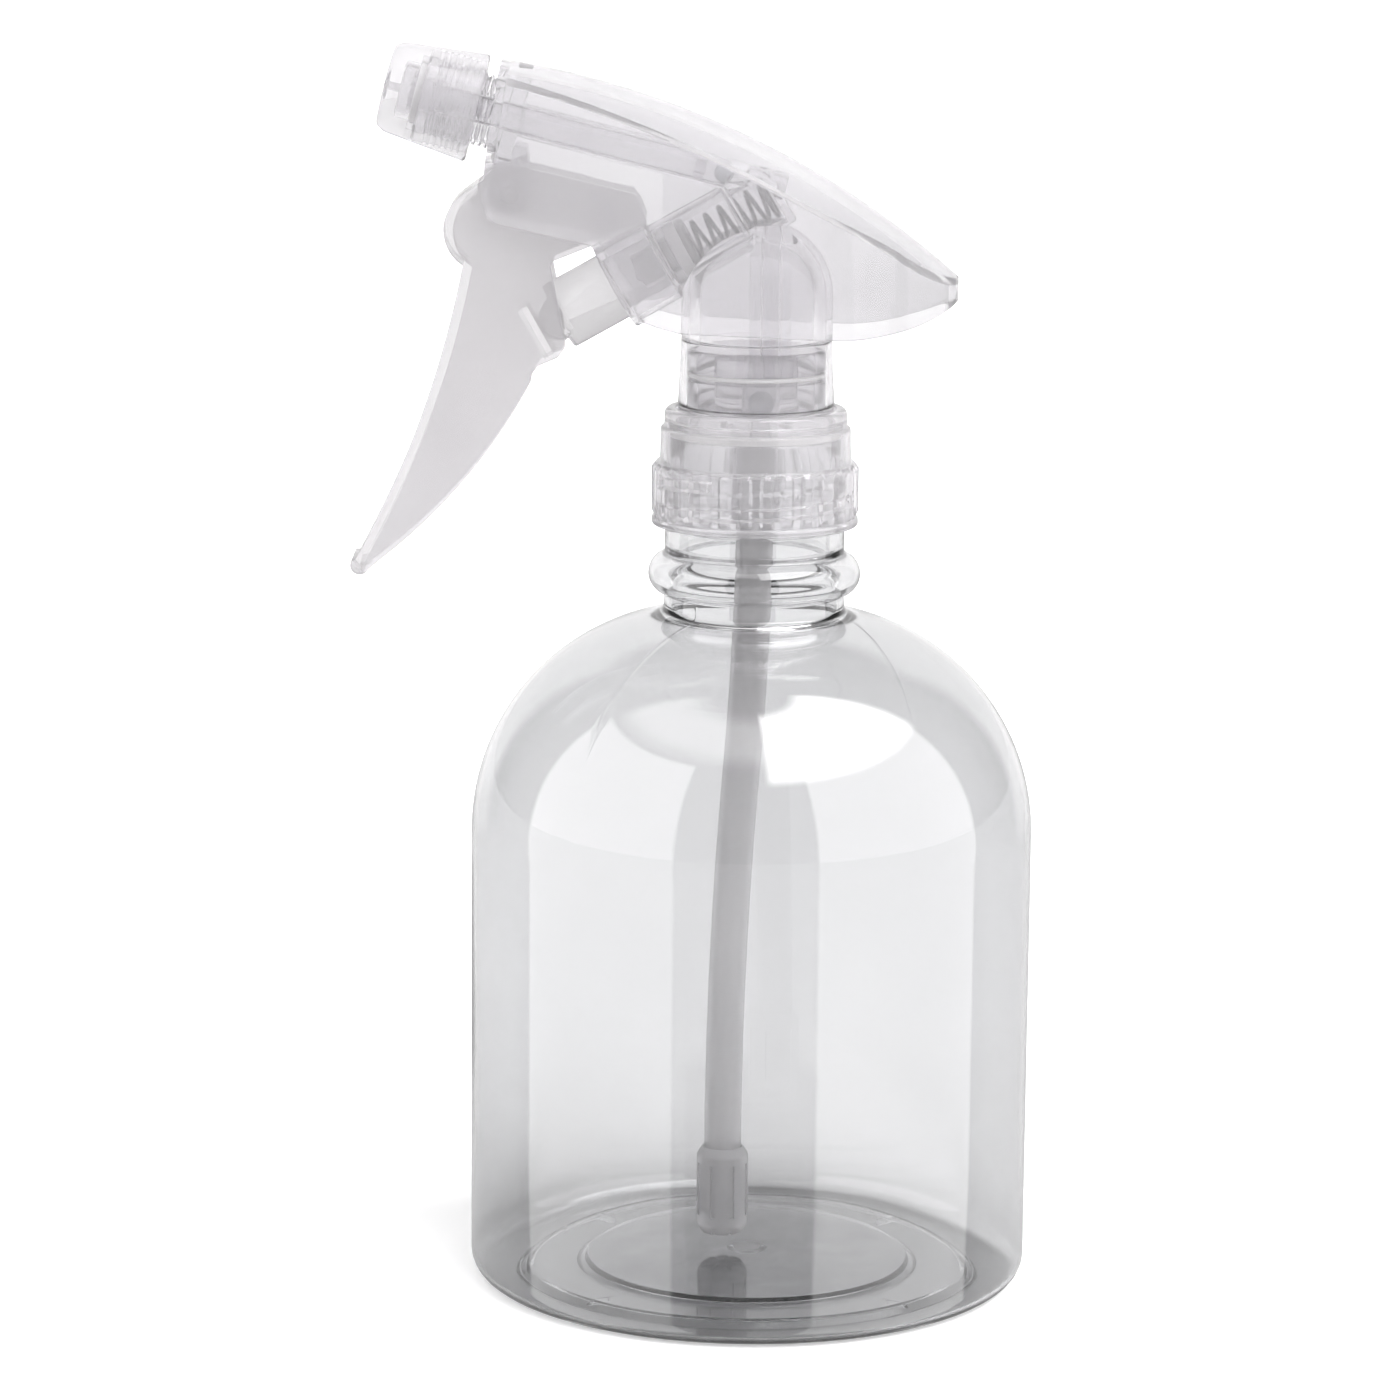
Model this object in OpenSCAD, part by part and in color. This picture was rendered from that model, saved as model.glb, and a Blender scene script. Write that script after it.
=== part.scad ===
// Hand mister: a clear round bottle with a screw-on trigger spray head.
// Origin: centre of the circle that the bottle stands on. +Z up. The jet leaves towards -X.
// The head is symmetric about the plane y = 0.

/* [Bottle] */
// Outer diameter of the bottle's body
bottle_d = 84; // [82:1:86]
// Wall thickness of the bottle
bottle_wall = 0.8; // [0.6:0.1:1.0]
// Height at which the straight side turns into the domed shoulder
shoulder_z = 68.4; // [60:0.2:70]
// Height of the standing ring's inner recess
recess_h = 1.2; // [0.8:0.1:1.6]

/* [Neck] */
// Outer diameter of the plain neck (28 mm finish)
neck_d = 25.3; // [25.0:0.1:25.4]
// Diameter over the thread
thread_d = 27.5; // [27.3:0.1:27.6]
// Advance of the neck thread in one turn
thread_pitch = 4.23; // [4.2:0.01:4.26]
// Grip ribs round the closure nut
nut_ribs = 30; // [20:1:34]

/* [Spray head] */
// Slope of the spray barrel, rising towards the nozzle
barrel_tilt = 14; // [13.5:0.1:14.5]
// Slope of the pump cylinder, rising towards the rear
pump_tilt = 29.5; // [29:0.1:30]
// Pitch of the nozzle thread
nozzle_pitch = 0.9; // [0.8:0.05:1.0]
// Radius of the trigger's pivot pins
pivot_r = 1.5; // [1.3:0.1:1.6]

/* [Spring] */
// Turns of the return spring
spring_turns = 7.5; // [6:0.5:8]
// Wire thickness of the return spring
wire_d = 0.7; // [0.5:0.05:0.8]

/* [Dip tube] */
// Outer diameter of the dip tube
tube_d = 5.6; // [5.2:0.1:5.6]
// Bore of the dip tube
tube_bore = 4.0; // [3.4:0.1:4.4]

/* [Hidden] */
$fn = 96;

cut = 0.5;                   // how far a cutter runs past the face it opens
bottle_r = bottle_d / 2;
neck_r = neck_d / 2;
thread_r = thread_d / 2;
rim_z = 128;                 // top of the bottle's neck
neck_bore_r = 11.2;
bead_z = 107.4;              // rounded bead round the neck
bead_x = 12.6;
bead_r = 3.2;
neck_ring_r = 13.4;          // thicker neck between the bead and the closure
neck_ring_z = 114.4;
shoulder_r = 33.5;           // radius of the domed shoulder
heel_r = 3.5;

thread_steps = 18;           // steps in one turn of the neck thread
thread_step_deg = 360 / thread_steps;
thread_count = 24;
thread_half = 0.8;           // half the thread's height at its root
neck_thread_z = 117;
nut_thread_z = 116.5;
nut_thread_turn = 360 * (0.5 - (neck_thread_z - nut_thread_z) / thread_pitch);

nut_bottom = 114.8;
nut_shelf = 124.2;           // where the nut narrows above its thread
nut_top = 132.2;
nut_bore_r = 14.05;

flange_z = 128.9;            // underside of the connector's flange
socket_z = 116;              // lower end of the connector's tube socket
seal_z = 136.5;              // groove of the connector's sealing ring
seal_floor_r = 9.6;
plug_r = 10.25;              // connector's plug, inside the bell
bell_z = 132.6;              // lower rim of the pump body's bell
bell_r = 11.6;
dome_z = 149;                // where the bell turns into its round top
dome_r = 11.15;
pipe_x = 2;                  // axis of the rising pipe inside the bell
valve_x = 0.6;               // axis of the inlet valve
pipe_z = 136;                // lower end of the rising pipe
pipe_r = 3.1;
inlet_seat_z = 130.5;
inlet_port_r = 1.3;
ball_r = 2;
valve_gap = 0.02;            // play between a ball and its seat

// Dip tube: straight out of its socket, a slow bend one way, a slower bend back
tube_top = 126;
tube_bend_z = 118;
tube_bend = 4.5;
bend_r1 = 510;
bend_r2 = 740;
tube_x1 = -bend_r1 * (1 - cos(tube_bend));
tube_z1 = tube_bend_z - bend_r1 * sin(tube_bend);
tube_x2 = tube_x1 - bend_r2 * (1 - cos(tube_bend));
tube_z2 = tube_z1 - bend_r2 * sin(tube_bend);
tube_end = 9;
filter_z = 6.1;
filter_top = 19.1;

// Spray barrel: s runs backwards along its axis from the rear face of the nozzle cap
barrel_x = -41.2;
barrel_z = 175.9;
barrel_r = 2.5;
barrel_bore_r = 1.75;
seat_s = 38.3;               // outlet valve's seat
outlet_r = 1.5;
seat_port_r = 1.1;
outlet_lift = 1.1;
outlet_s = seat_s - sqrt(pow(outlet_r, 2) - pow(seat_port_r, 2)) - valve_gap;
tip_s = -10;                 // front end of the barrel
spinner_r = 2.2;
spinner_s = tip_s - 0.2;
collar_s = -7;               // front end of the threaded collar
collar_r = 4.9;
barrel_end = 46.6;           // rear end of the barrel

// Pump cylinder: s runs up its axis from the mouth
pump_x = -21.1;
pump_z = 150.05;
mouth_r = 5.45;              // wide mouth that the outer piston slides in
mouth_depth = 7.9;
pump_bore_r = 4.4;
pump_bore_end = 20.8;
pocket_r = 3.4;              // spring pocket
pocket_end = 27;
vent_s = 7.8;                // grooves of the piston's two seals
cup_s = 10.2;
seal_play = 0.05;            // between a seal and the bore
stem_end = 13.4;             // inner end of the piston's stem
spring_s = 12.3;             // where the spring stands in the stem

pivot_x = -36.4;
pivot_z = 163.8;
pivot_play = 0.06;
arm_in = 4.6;                // half-width of the trigger's channel
arm_out = 6;                 // half-width of the trigger
nose_s = -9;                 // centre of the piston's rounded nose
nose_r = 3.2;
foot_s = -9.4;               // outer end of the piston's rod
nose_gap = 0.15;
front_arc = [-190.9, 181.9]; // centre of the trigger's hollow front arc
front_arc_r = 150.4;
rear_arc = [-105.6, 174.2];
rear_arc_r = 81.7;
tip_z = 108.9;               // centre of the trigger's round tip

// Shroud: the top is one long arc, the sides bow outwards round the bell
roof_x = -56.8;
roof_z = 54.1;
roof_r = 130.5;
roof_wall = 1.8;
crown_r = 22;                // the roof's arch from side to side
side_wall = 1.4;
shroud_y = 12.8;             // half-width at the widest place
shroud_wide_x = 2;
front_bow_r = 199;
rear_bow_r = 57.3;
tail_end_x = 29.7;
tail_round = 10;             // the tail's round end in plan

// ---------- places ----------

// Stands a child up along the barrel, local +Z pointing backwards
module on_barrel(s) {
    translate([barrel_x + s * cos(barrel_tilt), 0, barrel_z - s * sin(barrel_tilt)])
        rotate([0, 90 + barrel_tilt, 0])
            children();
}

// Stands a child up along the pump cylinder, local +Z pointing up the bore
module on_pump(s) {
    translate([pump_x + s * cos(pump_tilt), 0, pump_z + s * sin(pump_tilt)])
        rotate([0, 90 - pump_tilt, 0])
            children();
}

// Gives a side view (x, z) a thickness from y0 to y1
module side_slab(y0, y1) {
    translate([0, y1, 0])
        rotate([90, 0, 0])
            linear_extrude(y1 - y0)
                children();
}

module ring(outer, inner, h) {
    difference() {
        cylinder(r = outer, h = h);
        translate([0, 0, -cut])
            cylinder(r = inner, h = h + 2 * cut);
    }
}

// ---------- bottle ----------

// Half section of the bottle's outside, or of its inside when t is the wall
module bottle_section(t, top) {
    dome_x = bottle_r - shoulder_r;
    difference() {
        union() {
            translate([0, heel_r])
                square([bottle_r - t, shoulder_z - heel_r]);
            translate([0, t])
                square([bottle_r - heel_r, heel_r]);
            translate([bottle_r - heel_r, heel_r])
                circle(r = heel_r - t);
            intersection() {
                translate([dome_x, shoulder_z])
                    circle(r = shoulder_r - t, $fn = 180);
                translate([0, shoulder_z - 1])
                    square([bottle_r, shoulder_r + 0.5]);
            }
            translate([0, shoulder_z])
                square([dome_x + 1, shoulder_r - t]);
            translate([0, 95])
                square([t > 0 ? neck_bore_r : neck_r + 1.1, bead_z - 95]);
            translate([0, bead_z])
                square([t > 0 ? neck_bore_r : neck_r, top - bead_z]);
            if (t == 0)
                translate([bead_x, bead_z])
                    circle(r = bead_r);
            if (t == 0)
                translate([0, bead_z])
                    square([neck_ring_r, neck_ring_z - bead_z]);
        }
        translate([-bottle_r, -1])
            square([bottle_r, 2 * rim_z]);
    }
}

// One turn and a third of thread, built up in short level steps.
// It stands on the wall at radius r0 and reaches radius r1
module stepped_thread(r0, r1, z0, turn) {
    for (i = [0 : thread_count - 1])
        translate([0, 0, z0 + i * thread_pitch / thread_steps])
            rotate([0, 0, turn + i * thread_step_deg])
                rotate_extrude(angle = thread_step_deg + 0.4)
                    polygon([[r0, -thread_half - 0.2], [r1, -thread_half / 2],
                             [r1, thread_half / 2], [r0, thread_half + 0.2]]);
}

module bottle() {
    panel_r = 33;
    color([0.86, 0.88, 0.9, 0.4])
    difference() {
        union() {
            rotate_extrude()
                bottle_section(0, rim_z);
            stepped_thread(neck_r - 0.3, thread_r, neck_thread_z, 0);
        }
        rotate_extrude()
            difference() {
                bottle_section(bottle_wall, rim_z + 1);
                square([panel_r + 1, recess_h + bottle_wall + 0.2]);
                polygon([[-1, 0], [panel_r - 1, 1], [24, recess_h + bottle_wall + 0.2],
                         [0, recess_h + bottle_wall + 2.2], [-1, recess_h + bottle_wall + 2.2]]);
            }
        translate([0, 0, -cut])
            cylinder(r = panel_r, h = recess_h + cut);
        translate([0, 0, recess_h])
            cylinder(r1 = 24, r2 = 1, h = 1.9);
    }
}

// ---------- closure ----------

module closure_nut() {
    rib_w = 1.5;
    color([0.8, 0.79, 0.81])
    difference() {
        union() {
            translate([0, 0, nut_bottom])
                cylinder(r = 14.75, h = nut_shelf - nut_bottom);
            translate([0, 0, nut_bottom])
                cylinder(r = 15.35, h = 1.1);
            for (i = [0 : nut_ribs - 1])
                rotate([0, 0, i * 360 / nut_ribs])
                    translate([14, -rib_w / 2, nut_bottom])
                        cube([1.4, rib_w, nut_shelf - nut_bottom - 0.3]);
            translate([0, 0, nut_shelf - 1])
                cylinder(r = 14.15, h = 6.1);
            translate([0, 0, nut_shelf])
                cylinder(r = 13.6, h = nut_top - nut_shelf);
        }
        translate([0, 0, nut_bottom - cut])
            cylinder(r = nut_bore_r, h = nut_shelf - nut_bottom - 0.7 + cut);
        translate([0, 0, nut_shelf - 2])
            cylinder(r = 13.15, h = 130.4 - nut_shelf + 2);
        translate([0, 0, 130])
            cylinder(r = 11.9, h = 3);
    }
    color([0.8, 0.79, 0.81])
    stepped_thread(nut_bore_r + 0.3, 12.95, nut_thread_z, nut_thread_turn);
}

module closure_gasket() {
    color([0.93, 0.93, 0.92])
    translate([0, 0, rim_z + 0.05])
        ring(12.7, 9.6, flange_z - rim_z - 0.05);
}

module neck_connector() {
    boss_x = 1;
    color([0.82, 0.81, 0.83])
    difference() {
        union() {
            translate([0, 0, flange_z])
                cylinder(r = 12.8, h = 1.3);
            translate([0, 0, flange_z])
                cylinder(r = 11.5, h = bell_z - flange_z);
            translate([0, 0, bell_z])
                cylinder(r = plug_r, h = 8.4);
            translate([0, 0, socket_z])
                cylinder(r = 4.3, h = 14);
        }
        difference() {
            translate([0, 0, 131.6])
                cylinder(r = 9, h = 12);
            translate([boss_x, 0, 130])
                cylinder(r = 5.2, h = 9.5);
        }
        // groove of the sealing ring
        translate([0, 0, seal_z])
            ring(11, seal_floor_r, 1.6);
        translate([0, 0, socket_z - cut])
            cylinder(r = tube_d / 2, h = tube_top - socket_z + cut);
        translate([0, 0, tube_top - 1])
            cylinder(r = tube_bore / 2, h = 3);
        // port, chamber of the inlet valve, socket of the rising pipe
        translate([valve_x, 0, tube_top])
            cylinder(r = inlet_port_r, h = 5);
        translate([valve_x, 0, inlet_seat_z])
            cylinder(r = ball_r + 0.35, h = pipe_z - inlet_seat_z);
        translate([pipe_x, 0, pipe_z])
            cylinder(r = pipe_r + 0.02, h = 5);
        // air vent into the bottle
        translate([-7, 0, 125])
            cylinder(r = 0.6, h = 10);
    }
}

module connector_oring() {
    color([0.9, 0.9, 0.9])
    translate([0, 0, seal_z + 0.1])
        ring(plug_r, seal_floor_r, 1.4);
}

// ---------- dip tube ----------

// Centre of the dip tube at height z
function tube_centre(z) =
    z > tube_bend_z ? [0, 0, z]
    : z > tube_z1 ? [-bend_r1 + sqrt(pow(bend_r1, 2) - pow(tube_bend_z - z, 2)), 0, z]
    : z > tube_z2 ? [tube_x2 + bend_r2 - sqrt(pow(bend_r2, 2) - pow(z - tube_z2, 2)), 0, z]
    : [tube_x2, 0, z];

// One level ring of points round the dip tube
function tube_ring(z, r, sides) =
    [for (k = [0 : sides - 1])
        tube_centre(z) + [r * cos(360 * k / sides), r * sin(360 * k / sides), 0]];

module dip_tube() {
    sides = 24;
    bends = 16;
    levels = concat([tube_end],
                    [for (i = [0 : bends]) tube_z2 + i * (tube_bend_z - tube_z2) / bends],
                    [tube_top]);
    last = len(levels) - 1;
    inner = (last + 1) * sides;
    points = concat([for (z = levels) each tube_ring(z, tube_d / 2, sides)],
                    [for (z = levels) each tube_ring(z, tube_bore / 2, sides)]);
    walls = [for (i = [0 : last - 1], k = [0 : sides - 1])
        let (a = i * sides + k, b = i * sides + (k + 1) % sides)
        each [[a, b + sides, b], [a, a + sides, b + sides],
              [inner + a, inner + b, inner + b + sides],
              [inner + a, inner + b + sides, inner + a + sides]]];
    rims = [for (i = [0, last], k = [0 : sides - 1])
        let (a = i * sides + k, b = i * sides + (k + 1) % sides)
        each i == 0 ? [[a, b, inner + b], [a, inner + b, inner + a]]
                    : [[a, inner + b, b], [a, inner + a, inner + b]]];
    color([0.78, 0.76, 0.77])
    polyhedron(points = points, faces = concat(walls, rims));
}

module tube_filter() {
    slot_w = 0.6;
    body_r = 3.9;
    end_r = 3.2;
    color([0.74, 0.72, 0.74])
    translate([tube_x2, 0, 0])
        difference() {
            union() {
                translate([0, 0, filter_z + 1])
                    cylinder(r = body_r, h = filter_top - filter_z - 2);
                translate([0, 0, filter_z])
                    cylinder(r1 = end_r, r2 = body_r, h = 1);
                translate([0, 0, filter_top - 1])
                    cylinder(r1 = body_r, r2 = end_r, h = 1);
            }
            translate([0, 0, tube_end])
                cylinder(r = tube_d / 2, h = 12);
            translate([0, 0, filter_z + 1])
                cylinder(r = 2.2, h = 4);
            for (i = [0 : 3])
                rotate([0, 0, i * 45])
                    translate([-5, -slot_w / 2, filter_z - cut])
                        cube([10, slot_w, 2]);
        }
}

module inlet_ball() {
    color([0.7, 0.72, 0.74])
    translate([valve_x, 0, inlet_seat_z + sqrt(pow(ball_r, 2) - pow(inlet_port_r, 2)) + valve_gap])
        sphere(r = ball_r);
}

// ---------- pump body ----------

module bell_section() {
    difference() {
        union() {
            polygon([[0, bell_z], [bell_r, bell_z], [dome_r, 142.4], [dome_r, dome_z], [0, dome_z]]);
            intersection() {
                translate([0, dome_z])
                    circle(r = dome_r);
                translate([0, dome_z - 1])
                    square([dome_r, dome_r + 2]);
            }
        }
        translate([-1, bell_z - 1])
            square([11.3, 142.2 - bell_z]);
        translate([-1, bell_z])
            square([9.4, dome_z - bell_z]);
        translate([0, dome_z])
            circle(r = 8.4);
        translate([-20, bell_z - 1])
            square([20, 40]);
    }
}

module pump_ears() {
    for (side = [-1, 1])
        translate([0, side * 3.3, 0])
            side_slab(-0.9, 0.9)
                union() {
                    translate([pivot_x, pivot_z])
                        circle(r = 3.1);
                    polygon([[pivot_x - 2.9, pivot_z], [pivot_x + 3.1, pivot_z],
                             [pivot_x + 2.6, 170.5], [pivot_x - 1.9, 171.6]]);
                }
}

module pump_body() {
    thread_rings = 9;
    color([0.84, 0.83, 0.85])
    difference() {
        union() {
            rotate_extrude()
                bell_section();
            translate([pipe_x, 0, pipe_z])
                cylinder(r = pipe_r, h = 23);
            on_pump(0)
                cylinder(r = 6.9, h = 1.6);
            on_pump(1)
                cylinder(r = 6.35, h = 7.6);
            on_pump(8)
                cylinder(r = 5.35, h = 13.5);
            on_pump(21)
                cylinder(r = 4.6, h = 7.4);
            on_barrel(2)
                cylinder(r = barrel_r, h = barrel_end - 2);
            on_barrel(collar_s)
                cylinder(r = collar_r, h = 12);
            on_barrel(4.4)
                cylinder(r = 6.6, h = 2.2);
            on_barrel(tip_s)
                cylinder(r = 3.2, h = 4);
            for (i = [0 : thread_rings - 1])
                on_barrel(-5.6 + i * nozzle_pitch)
                    rotate_extrude()
                        polygon([[collar_r - 0.1, 0], [collar_r + 0.5, 0.35],
                                 [collar_r + 0.5, 0.5], [collar_r - 0.1, 0.85]]);
            side_slab(-0.8, 0.8)
                polygon([[-14, 159.4], [-14, 168.4], [1, 165], [1, 163]]);
            pump_ears();
        }
        on_pump(-cut)
            cylinder(r = mouth_r, h = mouth_depth + cut);
        on_pump(mouth_depth - 1)
            cylinder(r = pump_bore_r, h = pump_bore_end - mouth_depth + 1);
        on_pump(pump_bore_end - 1)
            cylinder(r = pocket_r, h = pocket_end - pump_bore_end + 1);
        // rising pipe into the spring pocket
        translate([pipe_x, 0, pipe_z - cut])
            cylinder(r = 1.2, h = 27);
        // spray barrel: valve chamber, valve port, rear passage
        on_barrel(tip_s - cut)
            cylinder(r = barrel_bore_r, h = seat_s - tip_s + cut);
        on_barrel(tip_s - cut)
            cylinder(r = spinner_r, h = 4.5 + cut);
        on_barrel(seat_s - 1)
            cylinder(r = seat_port_r, h = 4);
        on_barrel(seat_s + 2)
            cylinder(r = barrel_bore_r, h = 12);
        // pivot holes
        translate([pivot_x, 0, pivot_z])
            rotate([90, 0, 0])
                translate([0, 0, -8])
                    cylinder(r = pivot_r + pivot_play, h = 16);
    }
}

module outlet_ball() {
    color([0.7, 0.72, 0.74])
    on_barrel(outlet_s)
        sphere(r = outlet_r);
}

module outlet_cage() {
    color([0.88, 0.88, 0.88])
    on_barrel(outlet_s - outlet_r - outlet_lift - 1.8)
        ring(barrel_bore_r, 0.9, 1.6);
}

module barrel_plug() {
    color([0.84, 0.83, 0.85])
    on_barrel(barrel_end - 1.1)
        cylinder(r = barrel_bore_r, h = 1.1);
}

module spinner() {
    color([0.9, 0.9, 0.9])
    difference() {
        union() {
            on_barrel(spinner_s)
                cylinder(r = spinner_r, h = 4.2);
            on_barrel(-6.1)
                cylinder(r = 1.2, h = 8);
        }
        // swirl chamber and its two slots
        on_barrel(spinner_s - cut)
            cylinder(r = 1, h = 0.6 + cut);
        for (side = [-1, 1])
            on_barrel(spinner_s - cut)
                translate([side * 0.7 - 0.25, side > 0 ? 0 : -3, 0])
                    cube([0.5, 3, 0.6 + cut]);
    }
}

// ---------- nozzle ----------

module nozzle_gasket() {
    color([0.9, 0.9, 0.9])
    on_barrel(-9.4)
        ring(4.5, 3.25, 1);
}

module nozzle_cap() {
    color([0.85, 0.84, 0.86])
    difference() {
        union() {
            on_barrel(-12.5)
                cylinder(r1 = 6.75, r2 = 8.1, h = 12.5);
            on_barrel(-14)
                cylinder(r1 = 6, r2 = 6.75, h = 1.5);
        }
        on_barrel(-8.3)
            cylinder(r = 5.75, h = 8.3 + cut);
        on_barrel(-9.45)
            cylinder(r = 4.55, h = 2);
        on_barrel(-11.6)
            cylinder(r = 3.5, h = 3);
        on_barrel(-14 - cut)
            cylinder(r = 0.5, h = 4);
        on_barrel(-14 - cut)
            cylinder(r1 = 3.2, r2 = 2.2, h = 1 + cut);
    }
}

// ---------- piston ----------

module piston() {
    foot_half = 4.25;
    color([0.84, 0.83, 0.85])
    difference() {
        union() {
            on_pump(foot_s)
                cylinder(r = 5.15, h = 0.3 - foot_s);
            on_pump(0.1)
                cylinder(r = 4.05, h = stem_end - 0.1);
            // rounded nose that the trigger pushes
            on_pump(nose_s)
                rotate([90, 0, 0])
                    translate([0, 0, -4])
                        cylinder(r = nose_r, h = 8);
        }
        // flats of the foot, clear of the trigger's sides
        for (side = [-1, 1])
            on_pump(foot_s - 1)
                translate([-8, side * (foot_half + 2) - 2, 0])
                    cube([16, 4, 2.2]);
        // hollow of the stem, then the seat of the spring
        on_pump(4)
            cylinder(r = 2.3, h = stem_end - 3);
        on_pump(spring_s)
            cylinder(r = pocket_r, h = 4);
        on_pump(cup_s)
            ring(5, 3.8, 1.9);
        on_pump(vent_s)
            ring(5, 3.4, 1.2);
    }
}

module piston_cup() {
    color([0.9, 0.9, 0.9])
    on_pump(cup_s)
        ring(pump_bore_r - seal_play, 3.8, 1.9);
}

module vent_cup() {
    color([0.9, 0.9, 0.9])
    on_pump(vent_s + 0.15)
        ring(pump_bore_r - seal_play, 3.4, 0.9);
}

// ---------- return spring ----------

// Points of one ring of wire, at angle a round the coil and height h along it
function wire_ring(a, h, coil_r, sides) =
    [for (k = [0 : sides - 1])
        let (q = 360 * k / sides,
             r = coil_r + wire_d / 2 * cos(q))
        [r * cos(a), r * sin(a), h + wire_d / 2 * sin(q)]];

// Height along the coil at turn u: the last turn at each end lies flat
function coil_height(u, turns, length) =
    let (flat = 1, lead = wire_d * 1.05)
    u < flat ? u * lead
    : u > turns - flat ? length - (turns - u) * lead
    : flat * lead + (u - flat) * (length - 2 * flat * lead) / (turns - 2 * flat);

module coil(turns, length, coil_r) {
    steps = 14;
    sides = 6;
    rings = floor(turns * steps);
    points = [for (i = [0 : rings])
        each wire_ring(i * 360 / steps, coil_height(i / steps, turns, length), coil_r, sides)];
    walls = [for (i = [0 : rings - 1], k = [0 : sides - 1])
        let (a = i * sides + k, b = i * sides + (k + 1) % sides)
        each [[a, b, b + sides], [a, b + sides, a + sides]]];
    caps = [for (k = [1 : sides - 2])
        each [[0, k + 1, k],
              [rings * sides, rings * sides + k, rings * sides + k + 1]]];
    polyhedron(points = points, faces = concat(walls, caps));
}

module return_spring() {
    end_play = wire_d / 2 + 0.05;
    start = spring_s + end_play;
    color([0.55, 0.56, 0.58])
    on_pump(start)
        coil(spring_turns, pocket_end - end_play - start, 2.7);
}

// ---------- trigger ----------

// Lever below the piston: a slim blade between two arcs, down to a round tip
module trigger_blade() {
    difference() {
        intersection() {
            translate(rear_arc)
                circle(r = rear_arc_r, $fn = 240);
            polygon([[-50, 145], [-32.06, 138.8], [-36, 124], [-50, 107], [-64, 107.5]]);
        }
        translate(front_arc)
            circle(r = front_arc_r, $fn = 360);
        translate([-65, tip_z - 10])
            square([40, 10]);
    }
    translate([-58.4, tip_z])
        circle(r = 1.42);
}

module trigger_outline() {
    translate([pivot_x, pivot_z])
        circle(r = 4.4);
    translate([-39.9, 158.6])
        circle(r = 6.15);
    // arms that reach back over the cylinder
    polygon([[-36, 168.2], [-17.7, 164.1], [-16.1, 159.8], [-30.4, 154], [-40, 153]]);
    // lever beside the piston
    difference() {
        polygon([[-45, 153.4], [-30.8, 154], [-28.1, 141.6], [-29.2, 140],
                 [-32.06, 138.8], [-49, 137.5]]);
        translate(front_arc)
            circle(r = front_arc_r, $fn = 360);
    }
    trigger_blade();
}

module trigger() {
    color([0.83, 0.82, 0.84])
    union() {
        for (side = [-1, 1])
            translate([0, side * (arm_in + arm_out) / 2, 0])
                side_slab(-(arm_out - arm_in) / 2, (arm_out - arm_in) / 2)
                    trigger_outline();
        // front wall of the channel
        side_slab(-arm_in - 0.2, arm_in + 0.2)
            intersection() {
                difference() {
                    trigger_outline();
                    translate([1.4, -0.3])
                        trigger_outline();
                }
                translate([-65, 100])
                    square([24, 60.5]);
            }
        // wall that pushes the piston's nose
        on_pump(nose_s - nose_r - nose_gap - 1.6)
            translate([-4, -arm_in - 0.2, 0])
                cube([8, 2 * arm_in + 0.4, 1.6]);
        for (side = [-1, 1])
            translate([pivot_x, side * 3.7, pivot_z])
                rotate([90, 0, 0])
                    translate([0, 0, -1.1])
                        cylinder(r = pivot_r, h = 2.2);
    }
}

// ---------- shroud ----------

// Solid under an arched roof: a crowned disc about the centre of the roof's long arc
module under_roof(r) {
    translate([roof_x, 0, roof_z])
        rotate([90, 0, 0])
            rotate_extrude($fn = 720)
                intersection() {
                    translate([0, -20])
                        square([r, 40]);
                    translate([r - crown_r, 0])
                        circle(r = crown_r, $fn = 180);
                    translate([40, -20])
                        square([r, 40]);
                }
}

// One half of the plan view: two arcs of radius bow that part at shroud_wide_x
module bowed_half(half, bow, x0) {
    intersection() {
        translate([shroud_wide_x, half - bow])
            circle(r = bow, $fn = 360);
        translate([shroud_wide_x, bow - half])
            circle(r = bow, $fn = 360);
        translate([x0, -20])
            square([62, 40]);
    }
}

// Plan view of the bowed sides and the round tail, drawn in by t
module bowed_plan(t) {
    tail_x = tail_end_x - tail_round;
    bowed_half(shroud_y - t, front_bow_r, shroud_wide_x - 62);
    intersection() {
        bowed_half(shroud_y - t, rear_bow_r, shroud_wide_x);
        union() {
            translate([shroud_wide_x - 1, -20])
                square([tail_x - shroud_wide_x + 1, 40]);
            translate([tail_x, 0])
                circle(r = tail_round - t);
        }
    }
}

// Side view of the outside, below the roof
module shroud_side() {
    tail_x = 12.3;
    intersection() {
        translate([tail_x, 175.9])
            circle(r = 32.4, $fn = 240);
        translate([tail_x - 1, 140])
            square([tail_end_x - tail_x + 1, 45]);
    }
    polygon([[-36.7, 190], [-39.95, 168.3], [-40.3, 162.6], [-39.4, 160.4],
             [-38, 159.7], [-24.3, 157], [-17.3, 146.2], [-14.6, 145.2],
             [-11.4, 144.4], [tail_x, 143.5], [tail_x, 190]]);
}

// Side view of the hollow: it starts behind the front wall and is open below
module shroud_hollow() {
    polygon([[-36.7 + side_wall, 190], [-39.95 + side_wall, 168.6], [-60, 168.6], [-60, 130],
             [tail_end_x, 130], [tail_end_x, 190]]);
}

module shroud() {
    color([0.88, 0.87, 0.89])
    difference() {
        intersection() {
            under_roof(roof_r);
            side_slab(-20, 20)
                shroud_side();
            translate([0, 0, 130])
                linear_extrude(70)
                    bowed_plan(0);
        }
        intersection() {
            under_roof(roof_r - roof_wall);
            side_slab(-20, 20)
                shroud_hollow();
            translate([0, 0, 120])
                linear_extrude(80)
                    bowed_plan(side_wall);
        }
        // round opening for the barrel's collar
        on_barrel(0)
            cylinder(r = 5.7, h = 6);
    }
}

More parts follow.
